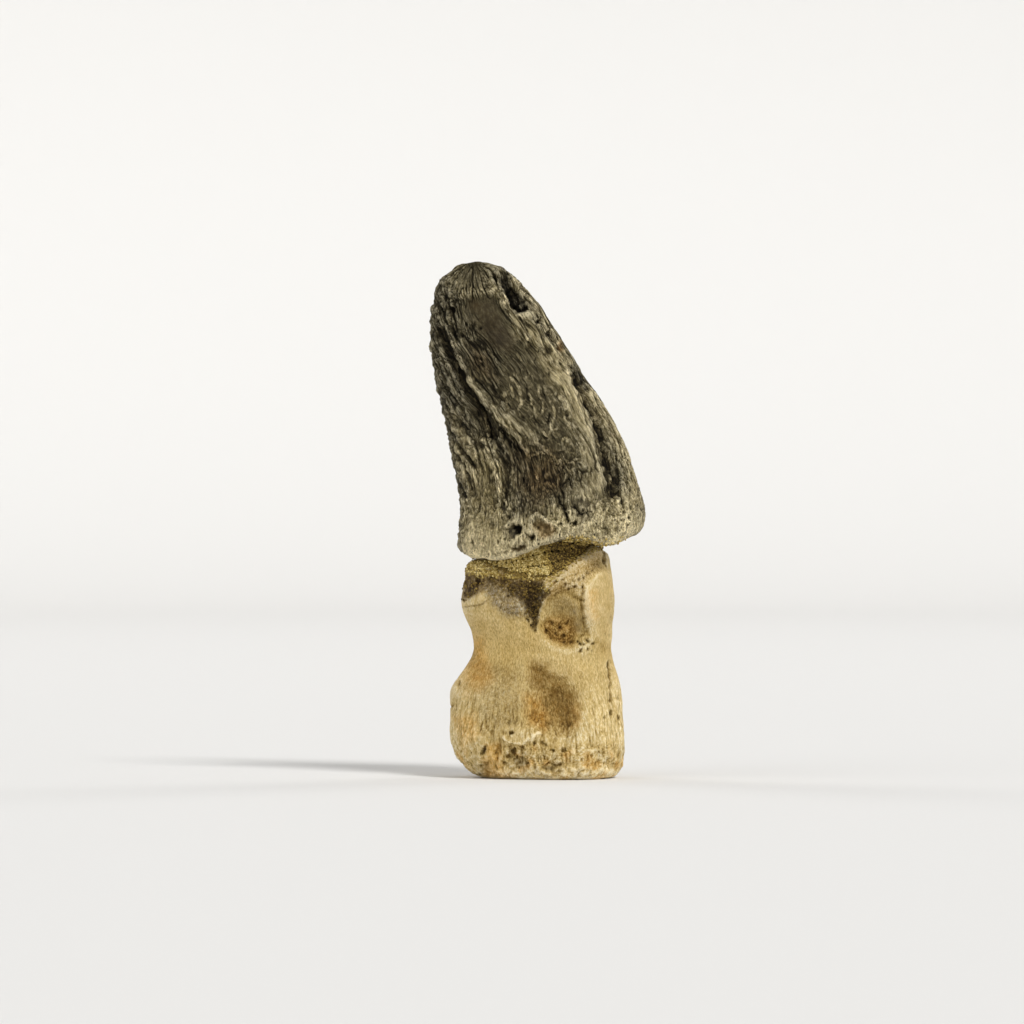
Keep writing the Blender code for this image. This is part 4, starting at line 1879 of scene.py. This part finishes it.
    area(462, 518, 486, 522, 506, 532, 508, 550, 480, 562, 462, 558, soft=3.0, pale=1.0, smooth=0.4),
    dot(478, 488, 4.5, 8.0, smooth=0.3),
    area(462, 445, 484, 440, 504, 470, 508, 520, 466, 520, soft=4.0, pale=0.95),
    # tip grains
    area(450, 262, 500, 262, 506, 288, 480, 292, 458, 292, 448, 280, soft=2.0, pale=0.15, grainy=0.5),
    # big pit, near black with painted shade and painted highlight on its rims
    area(513, 524, 519, 523, 522, 528, 520, 534, 515, 534, 512, 529, soft=0.6, rise=-2.2, hollow=0.95),
    area(507, 530, 512, 527, 517, 534, 514, 540, 508, 539, soft=0.7, rise=-1.3, ash=0.75, hollow=0.2),
    *lines((505, 532, 508, 526, 514, 522, 520, 521), (518, 534, 514, 540, 519, 544),
           (520, 535, 523, 541, 519, 547), width=0.43, rise=0.37, pale=0.53),
    dot(533, 538, 0.85, 1.2, lean=-20.0, rise=-1.9, hollow=1.0),
    line(526, 532, 529, 536, 532, 540, width=0.6, rise=-0.8, hollow=0.5),
    # brown hollow
    area(533, 525, 540, 520, 550, 524, 557, 531, 551, 538, 541, 538, soft=1.0, rise=-0.9, umber=0.4,
         rust=0.4, smooth=0.4),
    line(531, 528, 531, 521, 536, 514, 541, 515, 544, 519, 551, 524, 553, 532, width=0.4, rise=0.6,
         pale=0.7),
    # pit cluster, near black with painted shade
    *lines((556, 495, 560, 503, 564, 512, 570, 522), (574, 503, 577, 511, 579, 518),
           (586, 508, 588, 515, 589, 520), width=0.62, rise=-1.2, hollow=0.97),
    area(572, 500, 582, 498, 592, 502, 590, 520, 580, 524, 573, 514, soft=1.0, rise=-0.6, ash=0.5),
    *dots((582, 514, 0.8, 1.0), (575, 524, 0.9, 0.9), rise=-1.25, hollow=0.9),
    dot(595, 507, 0.5, 0.7, rise=-0.7, hollow=0.85),
    # fine slits
    *lines((521, 494, 521, 503, 519, 510), (479, 503, 481, 512), (472, 538, 473, 547), width=0.36,
           rise=-0.63, hollow=0.8),
    dot(504, 509, 0.6, 1.3, rise=-0.6, ash=0.6, hollow=0.4),
    *dots((510, 516, 0.4, 0.6), (531, 511, 0.35), rise=-0.45, hollow=0.8),
    line(483, 541, 487, 536, width=0.3, rise=-0.4, hollow=0.7),
    # lobe
    dot(622, 500, 0.8, 1.9, lean=15.0, rise=-1.1, hollow=0.9),
    line(624, 494, 619, 499, 618, 507, width=0.3, rise=0.3, pale=0.6),
    *dots((618, 483, 0.8, 0.6), (613, 471, 0.5, 0.45), (629, 491, 0.35, 0.7), (630, 508, 0.3, 0.7),
          (604, 528, 0.55, 0.4), (596, 500, 0.35, 0.5), (612, 515, 0.35, 0.5), rise=-0.51, hollow=0.77),
    area(598, 538, 612, 533, 634, 534, 628, 542, 606, 552, soft=1.2, sand=0.08, pale=0.4, grainy=0.6),
    line(601, 548, 610, 545, width=0.5, rise=-0.4, umber=0.8, hollow=0.4),
    # rim, with a painted brown shadow under its edge and a pale lip
    line(511, 548, 519, 549, 528, 545, width=0.8, rise=-0.4, umber=0.9, hollow=0.3),
    line(468, 556, 485, 560, 500, 558, 515, 554, 530, 549, 545, 545, 562, 541, width=0.6, rise=0.4,
         pale=0.3, smooth=0.4),
)
CLAW_BACK: Marks = (
    # vessel groove
    line(566, 366, 576, 390, 585, 412, 591, 436, 597, 462, 605, 490, width=1.3, rise=-1.8, hollow=0.5),
    line(558, 372, 568, 396, 577, 418, 583, 440, 589, 466, width=0.9, rise=0.5, pale=0.5),
    # long ridge
    line(452, 330, 464, 362, 480, 396, 500, 430, 520, 466, width=1.3, rise=0.8, pale=0.4),
    line(442, 340, 455, 372, 470, 404, 486, 440, 498, 470, width=1.2, rise=-0.9, hollow=0.6),
    # cracks
    *lines((448, 400, 458, 424, 468, 450), (458, 456, 466, 480, 470, 504), (520, 380, 532, 410, 542, 446),
           (536, 470, 540, 494, 548, 516), width=0.39, rise=-0.6, hollow=0.78),
    # shades
    area(500, 360, 540, 360, 566, 420, 572, 480, 530, 500, 508, 440, soft=5.0, rise=-0.5, shade=0.1),
    area(548, 372, 566, 384, 586, 430, 596, 480, 578, 486, 560, 430, soft=3.0, pale=0.45, smooth=0.3),
    area(466, 450, 500, 446, 512, 500, 470, 516, soft=4.0, pale=0.55),
    area(476, 306, 490, 298, 504, 306, 508, 322, 520, 336, 514, 348, 500, 342, 488, 330, soft=3.4,
         rise=-0.15, smooth=0.75, shade=0.55),
    # low band
    area(462, 512, 500, 516, 540, 508, 600, 498, 645, 488, 645, 530, 604, 548, 540, 552, 462, 560, soft=4.0,
         rise=0.2, pale=0.9, grainy=0.85),
    line(520, 286, 545, 324, 572, 366, 602, 412, 628, 470, width=1.6, rise=0.3, pale=0.5),
    line(468, 557, 500, 559, 545, 548, 590, 544, width=0.8, rise=0.5, pale=0.5, smooth=0.8),
    # pits
    dot(500, 532, 1.2, 1.0, rise=-1.8, hollow=1.0),
    dot(560, 528, 0.8, 0.9, rise=-1.3, hollow=1.0),
    *dots((538, 330, 0.5, 0.7), (470, 286, 0.5, 0.6), (526, 470, 0.5, 0.7), (612, 510, 0.7, 1.1),
          rise=-0.83, hollow=0.9),
)
CLAW_ROUND: Marks = (
    # tip corner and left bulge
    dot(446, 266, 2.2, rise=-0.9),
    dot(458, 545, 1.3, 2.0, rise=0.8),
)
CLAW_FORMS: Forms = {Side.FRONT: CLAW_FRONT, Side.BACK: CLAW_BACK, Side.ROUND: CLAW_ROUND}

TOE_FRONT: Marks = (
    # boss
    line(534, 624, 539, 607, 546, 592, 560, 576, 578, 562, 598, 550, width=1.3, rise=0.5, shade=0.12,
         grainy=0.8),
    area(536, 604, 545, 582, 560, 566, 580, 553, 598, 544, 604, 556, 602, 568, 590, 578, 584, 592, 566, 592,
         552, 600, soft=1.3, rust=0.18, grainy=1.0, shade=0.1, ash=0.22),
    area(542, 600, 550, 586, 562, 575, 580, 563, 600, 552, 604, 572, 590, 582, 584, 598, 566, 592, 552, 600,
         soft=1.5, rise=0.2, grainy=0.6),
    area(548, 591, 560, 577, 580, 565, 599, 560, 600, 570, 590, 580, 584, 592, 580, 602, 565, 595, 552, 602,
         soft=1.4, rise=-0.5),
    line(540, 592, 535, 600, 531, 606, width=0.7, rise=0.3, ash=0.7),
    # boss pores
    *dots((565, 585, 0.5), (575, 587, 0.5), rise=-0.5, hollow=0.8, rust=0.45),
    *dots((570, 584, 0.45), (568, 590, 0.4), (573, 581, 0.42), (588, 573, 0.6, 0.4), (583, 587, 0.35, 0.6),
          (557, 581, 0.55, 0.38), (579, 580, 0.42), (562, 580, 0.38), (584, 578, 0.38, 0.45),
          (593, 570, 0.42, 0.36), (576, 575, 0.36), rise=-0.41, hollow=0.74),
    # boss slots
    line(550, 588, 547, 593, 541, 600, width=0.85, rise=-1.0, umber=0.9, hollow=0.35),
    line(557, 580, 552, 585, width=0.5, rise=-0.6, umber=0.6, hollow=0.3),
    line(541, 600, 537, 609, 534, 620, 533, 629, width=0.75, rise=-0.5, umber=0.6, hollow=0.25),
    # ligament pit, with painted shade in its deep part and a painted grey shadow on its right wall
    area(541, 606, 550, 595, 562, 588, 575, 590, 583, 600, 587, 620, 590, 634, 584, 643, 570, 648, 552, 643,
         542, 632, 538, 620, soft=1.8, rise=-1.5, shade=0.05),
    area(543, 626, 550, 620, 562, 617, 572, 621, 576, 632, 572, 645, 558, 644, 546, 636, soft=2.0,
         rise=-0.8, rust=0.45, shade=0.55, grainy=1.0),
    dot(563, 608, 3.8, 3.2, rise=-0.6, ash=0.45, smooth=0.35),
    line(572, 608, 578, 620, 580, 636, width=1.9, rise=0.1, ash=0.7, smooth=0.4),
    # pit crust
    *dots((549, 627, 0.8, 0.6), (557, 622, 1.0, 0.6), rise=0.35, pale=0.35),
    dot(567, 630, 0.7, 0.8, rise=0.35, pale=0.25, rust=0.4),
    # pit pores
    *dots((547, 631, 0.45, 0.52), (560, 628, 0.41, 0.68), (563, 636, 0.45, 0.52), rise=-0.83, hollow=0.59,
          rust=0.57),
    *dots((557, 634, 0.34), (570, 643, 0.38), (555, 625, 0.3, 0.38), (563, 642, 0.3), (551, 638, 0.3),
          rise=-0.58, hollow=0.52),
    dot(566, 624, 0.3, 0.38, rise=-0.5, hollow=0.49, rust=0.5),
    # roller, with a thin painted highlight along its left edge
    area(603, 571, 592, 580, 586, 592, 585, 606, 588, 622, 594, 636, 600, 644, 618, 648, 618, 620, 618, 590,
         612, 572, soft=1.2, rise=0.26, smooth=0.25, shade=0.1),
    area(592, 632, 618, 632, 618, 668, 600, 668, soft=3.0, rise=0.3, smooth=0.3),
    line(603, 571, 592, 580, 586, 591, 584, 604, 587, 620, 592, 634, width=0.28, rise=0.2, pale=0.12),
    line(593, 588, 591, 604, 595, 622, width=1.6, rust=0.5),
    line(611, 590, 612, 606, 611, 626, width=1.0, ash=0.25, grainy=0.7),
    line(584, 584, 582, 596, 582, 608, 585, 622, 590, 634, width=0.5, rise=-0.35, umber=0.25, ash=0.2),
    *lines((603, 632, 604, 636), (607, 634, 609, 636), width=0.25, rise=-0.3, hollow=0.6),
    # roller pores
    *dots((583, 594, 0.35, 0.5), (584, 601, 0.3, 0.4), (586, 618, 0.3, 0.4), rise=-0.4, hollow=0.63),
    # joint crack, darkened inside with painted shade
    line(603, 549, 604, 558, 606, 568, width=0.3, rise=-0.5, umber=0.6, hollow=0.4),
    line(605, 553, 606, 561, 608, 570, width=0.4, rise=0.2, pale=0.8),
    # holes, near black with painted shade
    *dots((581, 645, 0.8, 0.45), (580.5, 651, 0.5), rise=-0.85, hollow=1.0),
    dot(589, 640.5, 0.85, 0.38, lean=-42.0, rise=-0.9, hollow=1.0),
    *dots((588, 649, 0.4, 0.3), (577.5, 643, 0.3, 0.3), (585, 645, 0.3, 0.3), (592, 650, 0.3, 0.25),
          rise=-0.43, hollow=0.85),
    dot(593, 644, 0.4, 0.35, lean=-40.0, rise=-0.5, hollow=0.9),
    # left lip, sandy, with painted shade on the toe under it
    area(464, 562, 482, 561, 494, 569, 486, 576, 466, 575, soft=1.0, rise=0.35, sand=0.85, grainy=1.0),
    area(460, 573, 481, 574, 487, 583, 480, 592, 470, 598, 461, 599, soft=1.6, rise=-0.25, shade=1.0,
         ash=0.8, hollow=0.48, grainy=1.0),
    line(479, 576, 476, 583, 470, 588, 466, 594, width=0.9, rise=-0.3, hollow=0.7),
    dot(478, 580, 0.9, 1.3, rise=-0.5, hollow=0.8),
    line(461, 607, 474, 607, 483, 604, 491, 599, width=0.2, rise=-0.2, umber=0.7),
    # grey patch, with painted shadow along its top under the sandstone
    area(482, 574, 512, 577, 540, 578, 546, 592, 537, 616, 524, 618, 504, 616, 492, 606, 484, 592, soft=1.6,
         rise=-0.2, ash=1.0, grainy=0.9),
    area(486, 574, 520, 577, 542, 582, 534, 601, 520, 597, 504, 588, 490, 583, soft=2.2, rise=-0.5,
         shade=1.0, hollow=0.48),
    line(506, 588, 518, 592, 526, 600, width=1.1, hollow=0.45),
    area(490, 597, 514, 598, 524, 614, 502, 614, soft=1.4, pale=0.9),
    # grey flecks
    *dots((497, 603, 0.4, 0.3), (517, 605, 0.45, 0.4), (509, 610, 0.4, 0.3), (503, 597, 0.5, 0.35),
          (511, 594, 0.45, 0.3), rise=0.2, pale=0.94),
    # dark wedge: painted shadow in the corner between the rollers
    area(521, 581, 541, 584, 546, 592, 540, 604, 537, 620, 534, 630, 528, 617, 523, 600, soft=1.6,
         rise=-0.6, hollow=0.72),
    line(529, 598, 530, 606, 533, 616, 535, 626, width=0.9, rise=-0.4, hollow=0.75),
    # rust
    area(474, 636, 484, 640, 488, 660, 494, 680, 480, 690, 466, 678, 472, 658, soft=2.0, rust=0.75),
    area(454, 716, 476, 714, 480, 735, 462, 748, soft=1.8, rust=0.62, pale=0.35),
    area(486, 744, 500, 744, 502, 776, 484, 776, soft=1.2, rust=0.75),
    # Painted shade on the waist's left side, which turns away from the light, with a little rust.
    area(460, 650, 474, 650, 486, 668, 484, 690, 470, 700, 456, 690, soft=3.4, shade=0.34, rust=0.22),
    area(524, 694, 540, 700, 550, 716, 544, 728, 528, 722, soft=2.4, rust=0.9, shade=0.2),
    line(574, 700, 578, 716, 574, 730, width=1.3, rust=0.4),
    line(482, 772, 500, 775, 520, 776, width=0.8, rust=0.5),
    # toe hollow, with painted shade in it, darkest towards its right
    dot(552, 702, 7.4, 9.6, lean=-12.0, rise=-1.6, shade=0.6),
    area(530, 662, 545, 667, 557, 679, 571, 690, 577, 702, 577, 722, 570, 736, 558, 732, 556, 716, 548, 706,
         538, 694, 530, 678, soft=2.2, rise=-0.6, shade=0.8),
    line(550, 688, 560, 698, 567, 714, 567, 727, width=2.4, rise=-0.3, umber=0.36, shade=0.95),
    dot(539, 675, 2.8, 3.8, lean=-20.0, rise=-0.3, shade=0.9, umber=0.22),
    # grey middle
    area(480, 662, 522, 668, 524, 700, 514, 728, 494, 742, 478, 720, soft=3.4, ash=0.4, grainy=0.5),
    area(470, 616, 535, 622, 540, 655, 600, 656, 606, 672, 560, 676, 520, 668, 486, 660, 474, 640, soft=3.0,
         smooth=0.25, pale=0.3),
    # knob
    dot(528, 733, 4.2, 3.0, rise=1.0, pale=0.06),
    line(500, 735, 506, 740, 514, 743, 522, 744, 530, 740, 535, 735, 543, 731, width=0.6, rise=0.5,
         pale=0.3, grainy=0.6),
    dot(511, 733, 0.85, 0.6, rise=-0.7, hollow=0.4, ash=0.4),
    line(504, 734, 507, 735, width=0.4, rise=-0.4, hollow=0.7),
    # base hollows
    line(487, 745, 484, 750, 481, 755, width=0.6, rise=-0.8, hollow=0.6, ash=0.7),
    dot(513, 752, 0.5, 1.1, lean=-20.0, rise=-0.8, hollow=0.55),
    area(508, 756, 520, 754, 528, 762, 527, 772, 514, 771, soft=1.0, rise=-0.8, ash=0.55),
    *lines((502, 760, 505, 768), (538, 742, 543, 744, 548, 747), width=0.6, rise=-0.65, hollow=0.5),
    *dots((553, 750, 0.6), (563, 750, 0.55), (534, 744, 0.5, 0.6), rise=-0.67, hollow=0.63),
    line(540, 768, 552, 768, 564, 766, width=0.8, rise=-0.6, ash=0.6),
    line(556, 773, 564, 771, width=0.35, rise=-0.4, hollow=0.6),
    dot(497, 752, 0.9, 0.9, rise=-0.5, umber=0.5),
    # base, with a painted highlight along its bottom edge
    area(478, 764, 488, 762, 500, 776, 480, 776, soft=1.2, ash=0.5),
    area(500, 746, 560, 744, 616, 742, 618, 768, 560, 768, 506, 770, soft=2.0, rise=-0.3, shade=0.12,
         grainy=0.9),
    line(487, 774, 520, 775, 560, 775, 600, 774, 616, 768, width=2.3, rise=0.3, pale=1.0),
    # flanges: painted light on the right one, where light falls, and a painted rim light along the left
    # one's edge
    line(608, 662, 610, 676, 611, 690, 611, 704, width=0.3, rise=-0.5, umber=0.55, hollow=0.1),
    *dots((608, 664, 0.4, 0.8), (605, 717, 0.4, 0.5), (611, 713, 0.4, 0.8), (619, 717, 0.3, 0.8), rise=-0.5,
          hollow=0.74),
    dot(619, 698, 0.25, 0.8, rise=-0.3, hollow=0.4),
    area(612, 665, 622, 680, 626, 745, 615, 748, 611, 700, soft=1.0, pale=0.7),
    area(596, 690, 612, 706, 614, 745, 602, 748, 592, 722, soft=2.2, pale=0.7),
    line(459, 680, 460, 690, width=0.3, rise=-0.4, umber=0.6),
    line(468, 662, 460, 676, 452, 690, width=0.8, pale=0.4),
)
TOE_BACK: Marks = (
    # ligament pit, with painted shade in it
    area(500, 600, 508, 592, 520, 592, 530, 602, 535, 618, 530, 634, 518, 640, 504, 634, 496, 616, soft=2.7,
         rise=-2.3, shade=0.5),
    dot(513, 608, 2.6, 2.2, rise=-0.4, ash=0.5, smooth=0.5),
    area(502, 618, 520, 614, 529, 624, 520, 636, 506, 632, soft=1.6, rise=-0.5, umber=0.25, rust=0.6),
    *dots((510, 624, 0.7, 0.9), (522, 616, 0.6, 0.8), rise=-0.8, hollow=0.8),
    line(490, 612, 498, 592, 514, 582, 532, 588, 541, 602, width=1.5, rise=0.3, grainy=0.6, rust=0.2,
         shade=0.15),
    # grey patch, with painted shade along its top under the sandstone
    area(546, 578, 566, 580, 586, 574, 602, 578, 606, 596, 594, 608, 574, 618, 560, 606, 550, 596, soft=2.6,
         ash=0.85, grainy=0.8),
    area(552, 576, 580, 574, 600, 576, 590, 588, 566, 590, soft=1.6, rise=-0.4, shade=0.8, hollow=0.2),
    area(480, 572, 500, 570, 540, 573, 560, 571, 556, 578, 530, 579, 500, 578, soft=1.2, sand=0.5,
         grainy=1.0),
    # hollow, with painted shade in it
    area(530, 668, 544, 672, 558, 684, 568, 702, 568, 720, 556, 733, 540, 732, 530, 716, 523, 698, 521, 682,
         soft=5.0, rise=-1.4, shade=0.62),
    dot(548, 706, 2.6, 3.4, rust=0.6),
    area(556, 672, 590, 676, 596, 716, 570, 736, 560, 706, soft=3.4, ash=0.32, grainy=0.4),
    # rust
    area(576, 640, 596, 650, 600, 690, 580, 696, soft=2.2, rust=0.7),
    area(470, 730, 500, 726, 510, 764, 480, 768, soft=2.0, rust=0.6),
    # base
    dot(560, 746, 3.5, 2.4, rise=0.8, pale=0.4),
    *dots((520, 752, 1.0, 1.4), (588, 754, 0.8, 1.0), (544, 650, 0.5, 0.4), rise=-0.83, hollow=0.73),
    line(468, 668, 464, 690, 463, 716, width=0.4, rise=-0.6, umber=0.7),
)
TOE_ROUND: Marks = (
    # left notch
    line(446, 706, 454, 706, width=0.35, rise=-0.7, umber=0.3),
)
TOE_FORMS: Forms = {Side.FRONT: TOE_FRONT, Side.BACK: TOE_BACK, Side.ROUND: TOE_ROUND}

CLAW_FURROWS = (
    Furrows(across=3.6, along=16.0, width=0.31, depth=0.55, dark=0.75, shift=13.0),
    Furrows(across=2.0, along=12.5, width=0.26, depth=0.38, dark=0.62, shift=30.0),
    Furrows(across=1.2, along=8.5, width=0.22, depth=0.26, dark=0.48, shift=60.0),
)
CLAW_PITS = (
    Pits(apart=3.2, long=1.7, size=0.11, share=0.30, depth=0.5, dark=0.80, shift=3.0),
    Pits(apart=1.8, long=1.6, size=0.18, share=0.26, depth=0.35, dark=0.55, shift=20.0),
)
BAND_PITS = (
    Pits(apart=2.1, long=1.3, size=0.19, share=0.50, depth=0.60, dark=0.85, shift=40.0),
    Pits(apart=1.3, long=1.2, size=0.23, share=0.45, depth=0.35, dark=0.55, shift=70.0),
)
TOE_FURROWS = (
    Furrows(across=2.0, along=12.0, width=0.36, depth=0.28, dark=0.16),
    Furrows(across=1.1, along=6.0, width=0.30, depth=0.18, dark=0.13, shift=30.0),
)
TOE_PITS = (Pits(apart=3.4, long=1.5, size=0.13, share=0.22, depth=0.22, dark=0.35),)
FOOT_PITS = (
    Pits(apart=2.0, long=1.2, size=0.24, share=0.45, depth=0.42, dark=0.18, shift=40.0),
    Pits(apart=1.2, long=1.2, size=0.27, share=0.45, depth=0.28, dark=0.16, shift=70.0),
)

DARK_BONE = BoneFinish(
    name="dark fossil bone",
    hollow=(0.013, 0.009, 0.002),
    middle=(0.124, 0.102, 0.050),
    ridge=(0.284, 0.244, 0.146),
    crest=(0.550, 0.487, 0.330),
    # The SHADE, HOLLOW and PALE washes paint shade and highlights as well as staining.
    washes=(
        Wash(StainAndShading.SHADE, (0.42, 0.38, 0.30), 0.9),
        Wash(StainAndShading.PALE, (2.35, 2.26, 2.04), 1.0),
        Wash(StainAndShading.ASH, (0.105, 0.090, 0.066), 0.8, over=True),
        Wash(StainAndShading.RUST, (1.45, 0.95, 0.65), 0.8),
        Wash(StainAndShading.UMBER, (0.090, 0.055, 0.018), 0.9, over=True),
        Wash(StainAndShading.SAND, (0.260, 0.180, 0.060), 0.7, over=True),
        Wash(StainAndShading.HOLLOW, (0.006, 0.004, 0.001), 1.0, over=True),
    ),
    strands=Mottle(2.3, 0.28, 3.0, 1.7),
    strand_strength=0.44,
    granule_strength=0.46,
    hairlines=(
        Hairlines(across=0.95, along=0.13, width=0.055, depth=0.80),
        Hairlines(across=2.0, along=0.34, width=0.080, depth=0.62),
    ),
    pinholes=(
        Pinholes(across=0.62, size=0.24, share=0.42, depth=0.90, grainy_share=0.15),
        Pinholes(across=1.30, size=0.27, share=0.34, depth=0.85, grainy_share=0.26),
    ),
    fine_mm=0.30,
    mottle_tint=(0.72, 0.71, 0.66),
    roughness=0.78,
    smooth_roughness=0.46,
    specular=0.16,
)

GOLDEN_BONE = BoneFinish(
    name="golden fossil bone",
    hollow=(0.225, 0.138, 0.030),
    middle=(0.610, 0.440, 0.162),
    ridge=(0.800, 0.618, 0.292),
    crest=(0.990, 0.860, 0.560),
    # The SHADE, HOLLOW and PALE washes paint shade and highlights as well as staining.
    washes=(
        Wash(StainAndShading.ASH, (0.37, 0.375, 0.44), 1.0),
        Wash(StainAndShading.RUST, (0.96, 0.71, 0.34), 0.9),
        Wash(StainAndShading.SHADE, (0.50, 0.40, 0.24), 0.9),
        Wash(StainAndShading.PALE, (1.30, 1.34, 1.48), 0.9),
        Wash(StainAndShading.UMBER, (0.130, 0.070, 0.012), 0.9, over=True),
        Wash(StainAndShading.SAND, (0.220, 0.150, 0.040), 0.8, over=True),
        Wash(StainAndShading.HOLLOW, (0.030, 0.016, 0.004), 1.0, over=True),
    ),
    strands=Mottle(2.9, 1.0, 3.0, 1.7),
    strand_strength=0.46,
    granule_strength=0.62,
    hairlines=(Hairlines(across=0.85, along=0.20, width=0.04, depth=0.25),),
    pinholes=(
        Pinholes(across=0.8, size=0.22, share=0.16, depth=0.44, grainy_share=0.26),
        Pinholes(across=1.5, size=0.26, share=0.10, depth=0.42, grainy_share=0.36),
    ),
    fine_mm=0.20,
    mottle_tint=(0.86, 0.80, 0.66),
    roughness=0.70,
    smooth_roughness=0.45,
    specular=0.18,
)


@dataclass
class Studio:
    """A pale floor that curves up all round, soft lights and the camera."""

    floor_radius: float = 2.8
    curve_radius: float = 0.9
    wall_height: float = 1.3
    flat_rings: tuple[float, ...] = (0.0, 0.3, 1.0)
    curve_points: int = 17
    turns: int = 96
    floor_colour: Colour = (0.78, 0.77, 0.75)
    floor_roughness: float = 0.9
    floor_specular: float = 0.2
    room_strength: float = 0.36
    lights: tuple[tuple[str, float, float, float, float], ...] = (
        ("key", 36.0, 44.0, 16.0, 2.1),
        ("fill", -58.0, 30.0, 50.0, 0.55),
        ("back right", 128.0, 34.0, 24.0, 0.45),
        ("back left", -132.0, 34.0, 24.0, 0.45),
    )
    lamp_distance: float = 2.0

    def build(self) -> None:
        """Makes everything round the object."""
        self._floor()
        for name, turn, height, width, power in self.lights:
            self._light(name, turn, height, width, power)
        self._room()
        self._camera()
        bpy.context.scene.view_settings.view_transform = "Standard"

    def _floor(self) -> None:
        """A round floor whose edge bends up into a wall, so that no horizon shows from any side."""
        arc = np.linspace(0.0, np.pi / 2.0, self.curve_points)
        radii = [*self.flat_rings, *(self.floor_radius + self.curve_radius * np.sin(arc))]
        heights = [*(0.0 for _ in self.flat_rings), *(self.curve_radius * (1.0 - np.cos(arc)))]
        net = bmesh.new()
        profile = zip([*radii, radii[-1]], [*heights, self.wall_height])
        corners = [net.verts.new((radius, 0.0, height)) for radius, height in profile]
        edges = [net.edges.new(pair) for pair in zip(corners, corners[1:])]
        whole = {"angle": 2.0 * np.pi, "steps": self.turns, "axis": (0.0, 0.0, 1.0)}
        bmesh.ops.spin(net, geom=corners + edges, **whole)
        bmesh.ops.remove_doubles(net, verts=net.verts, dist=MM)
        mesh = bpy.data.meshes.new("studio_floor")
        net.to_mesh(mesh)
        net.free()
        mesh.shade_smooth()
        paint = bpy.data.materials.new("pale studio floor")
        paint.use_nodes = True
        looks = paint.node_tree.nodes["Principled BSDF"].inputs
        looks["Base Color"].default_value = (*self.floor_colour, 1.0)
        looks["Roughness"].default_value = self.floor_roughness
        looks["Specular IOR Level"].default_value = self.floor_specular
        mesh.materials.append(paint)
        placed("studio_floor", mesh)

    def _light(self, name: str, turn: float, height: float, width: float, power: float) -> None:
        """Adds a soft far light that shines on the object and the floor alike.

        Args:
            name: Its name.
            turn: How far to the right of the front it stands, in degrees.
            height: How high it stands, in degrees.
            width: How wide it looks, in degrees.
            power: Its strength.
        """
        light = bpy.data.lights.new(name, "SUN")
        light.angle, light.energy = np.radians(width), power
        lamp = placed(name, light)
        flat = np.cos(np.radians(height))
        across, toward = np.sin(np.radians(turn)) * flat, -np.cos(np.radians(turn)) * flat
        way = Vector((across, toward, np.sin(np.radians(height))))
        lamp.location = way * self.lamp_distance
        lamp.rotation_euler = way.to_track_quat("Z", "Y").to_euler()

    def _room(self) -> None:
        """Fills the room with an even light."""
        world = bpy.data.worlds.new("soft room")
        world.use_nodes = True
        looks = world.node_tree.nodes["Background"].inputs
        looks["Color"].default_value = (1.0, 1.0, 1.0, 1.0)
        looks["Strength"].default_value = self.room_strength
        bpy.context.scene.world = world

    def _camera(self) -> None:
        """The camera stands straight in front of the broad side, at the height of the sheet's middle."""
        data = bpy.data.cameras.new("camera")
        data.lens, data.sensor_width = SHEET.lens_mm, SHEET.sensor_mm
        camera = placed("camera", data)
        camera.location = (SHEET.aim[0] * MM, -SHEET.eye * MM, SHEET.aim[1] * MM)
        camera.rotation_euler = (np.pi / 2.0, 0.0, 0.0)
        bpy.context.scene.camera = camera


def main() -> None:
    """Builds the pieces in order."""
    logging.basicConfig(level=logging.INFO, format="%(message)s")
    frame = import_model()
    effects = Effects()
    bones = (ClawCore(), ToeBone())
    for bone in bones:
        bone.lay(frame["nodes"])
        bone.carve()
    skins = {bone.node: bone.skin for bone in bones}
    JointSandstone().build(frame["nodes"], skins, SandFinish().build(effects))
    for bone, finish in zip(bones, (DARK_BONE, GOLDEN_BONE)):
        bone.close(finish.build(effects))
    Studio().build()


if __name__ == "__main__":
    main()
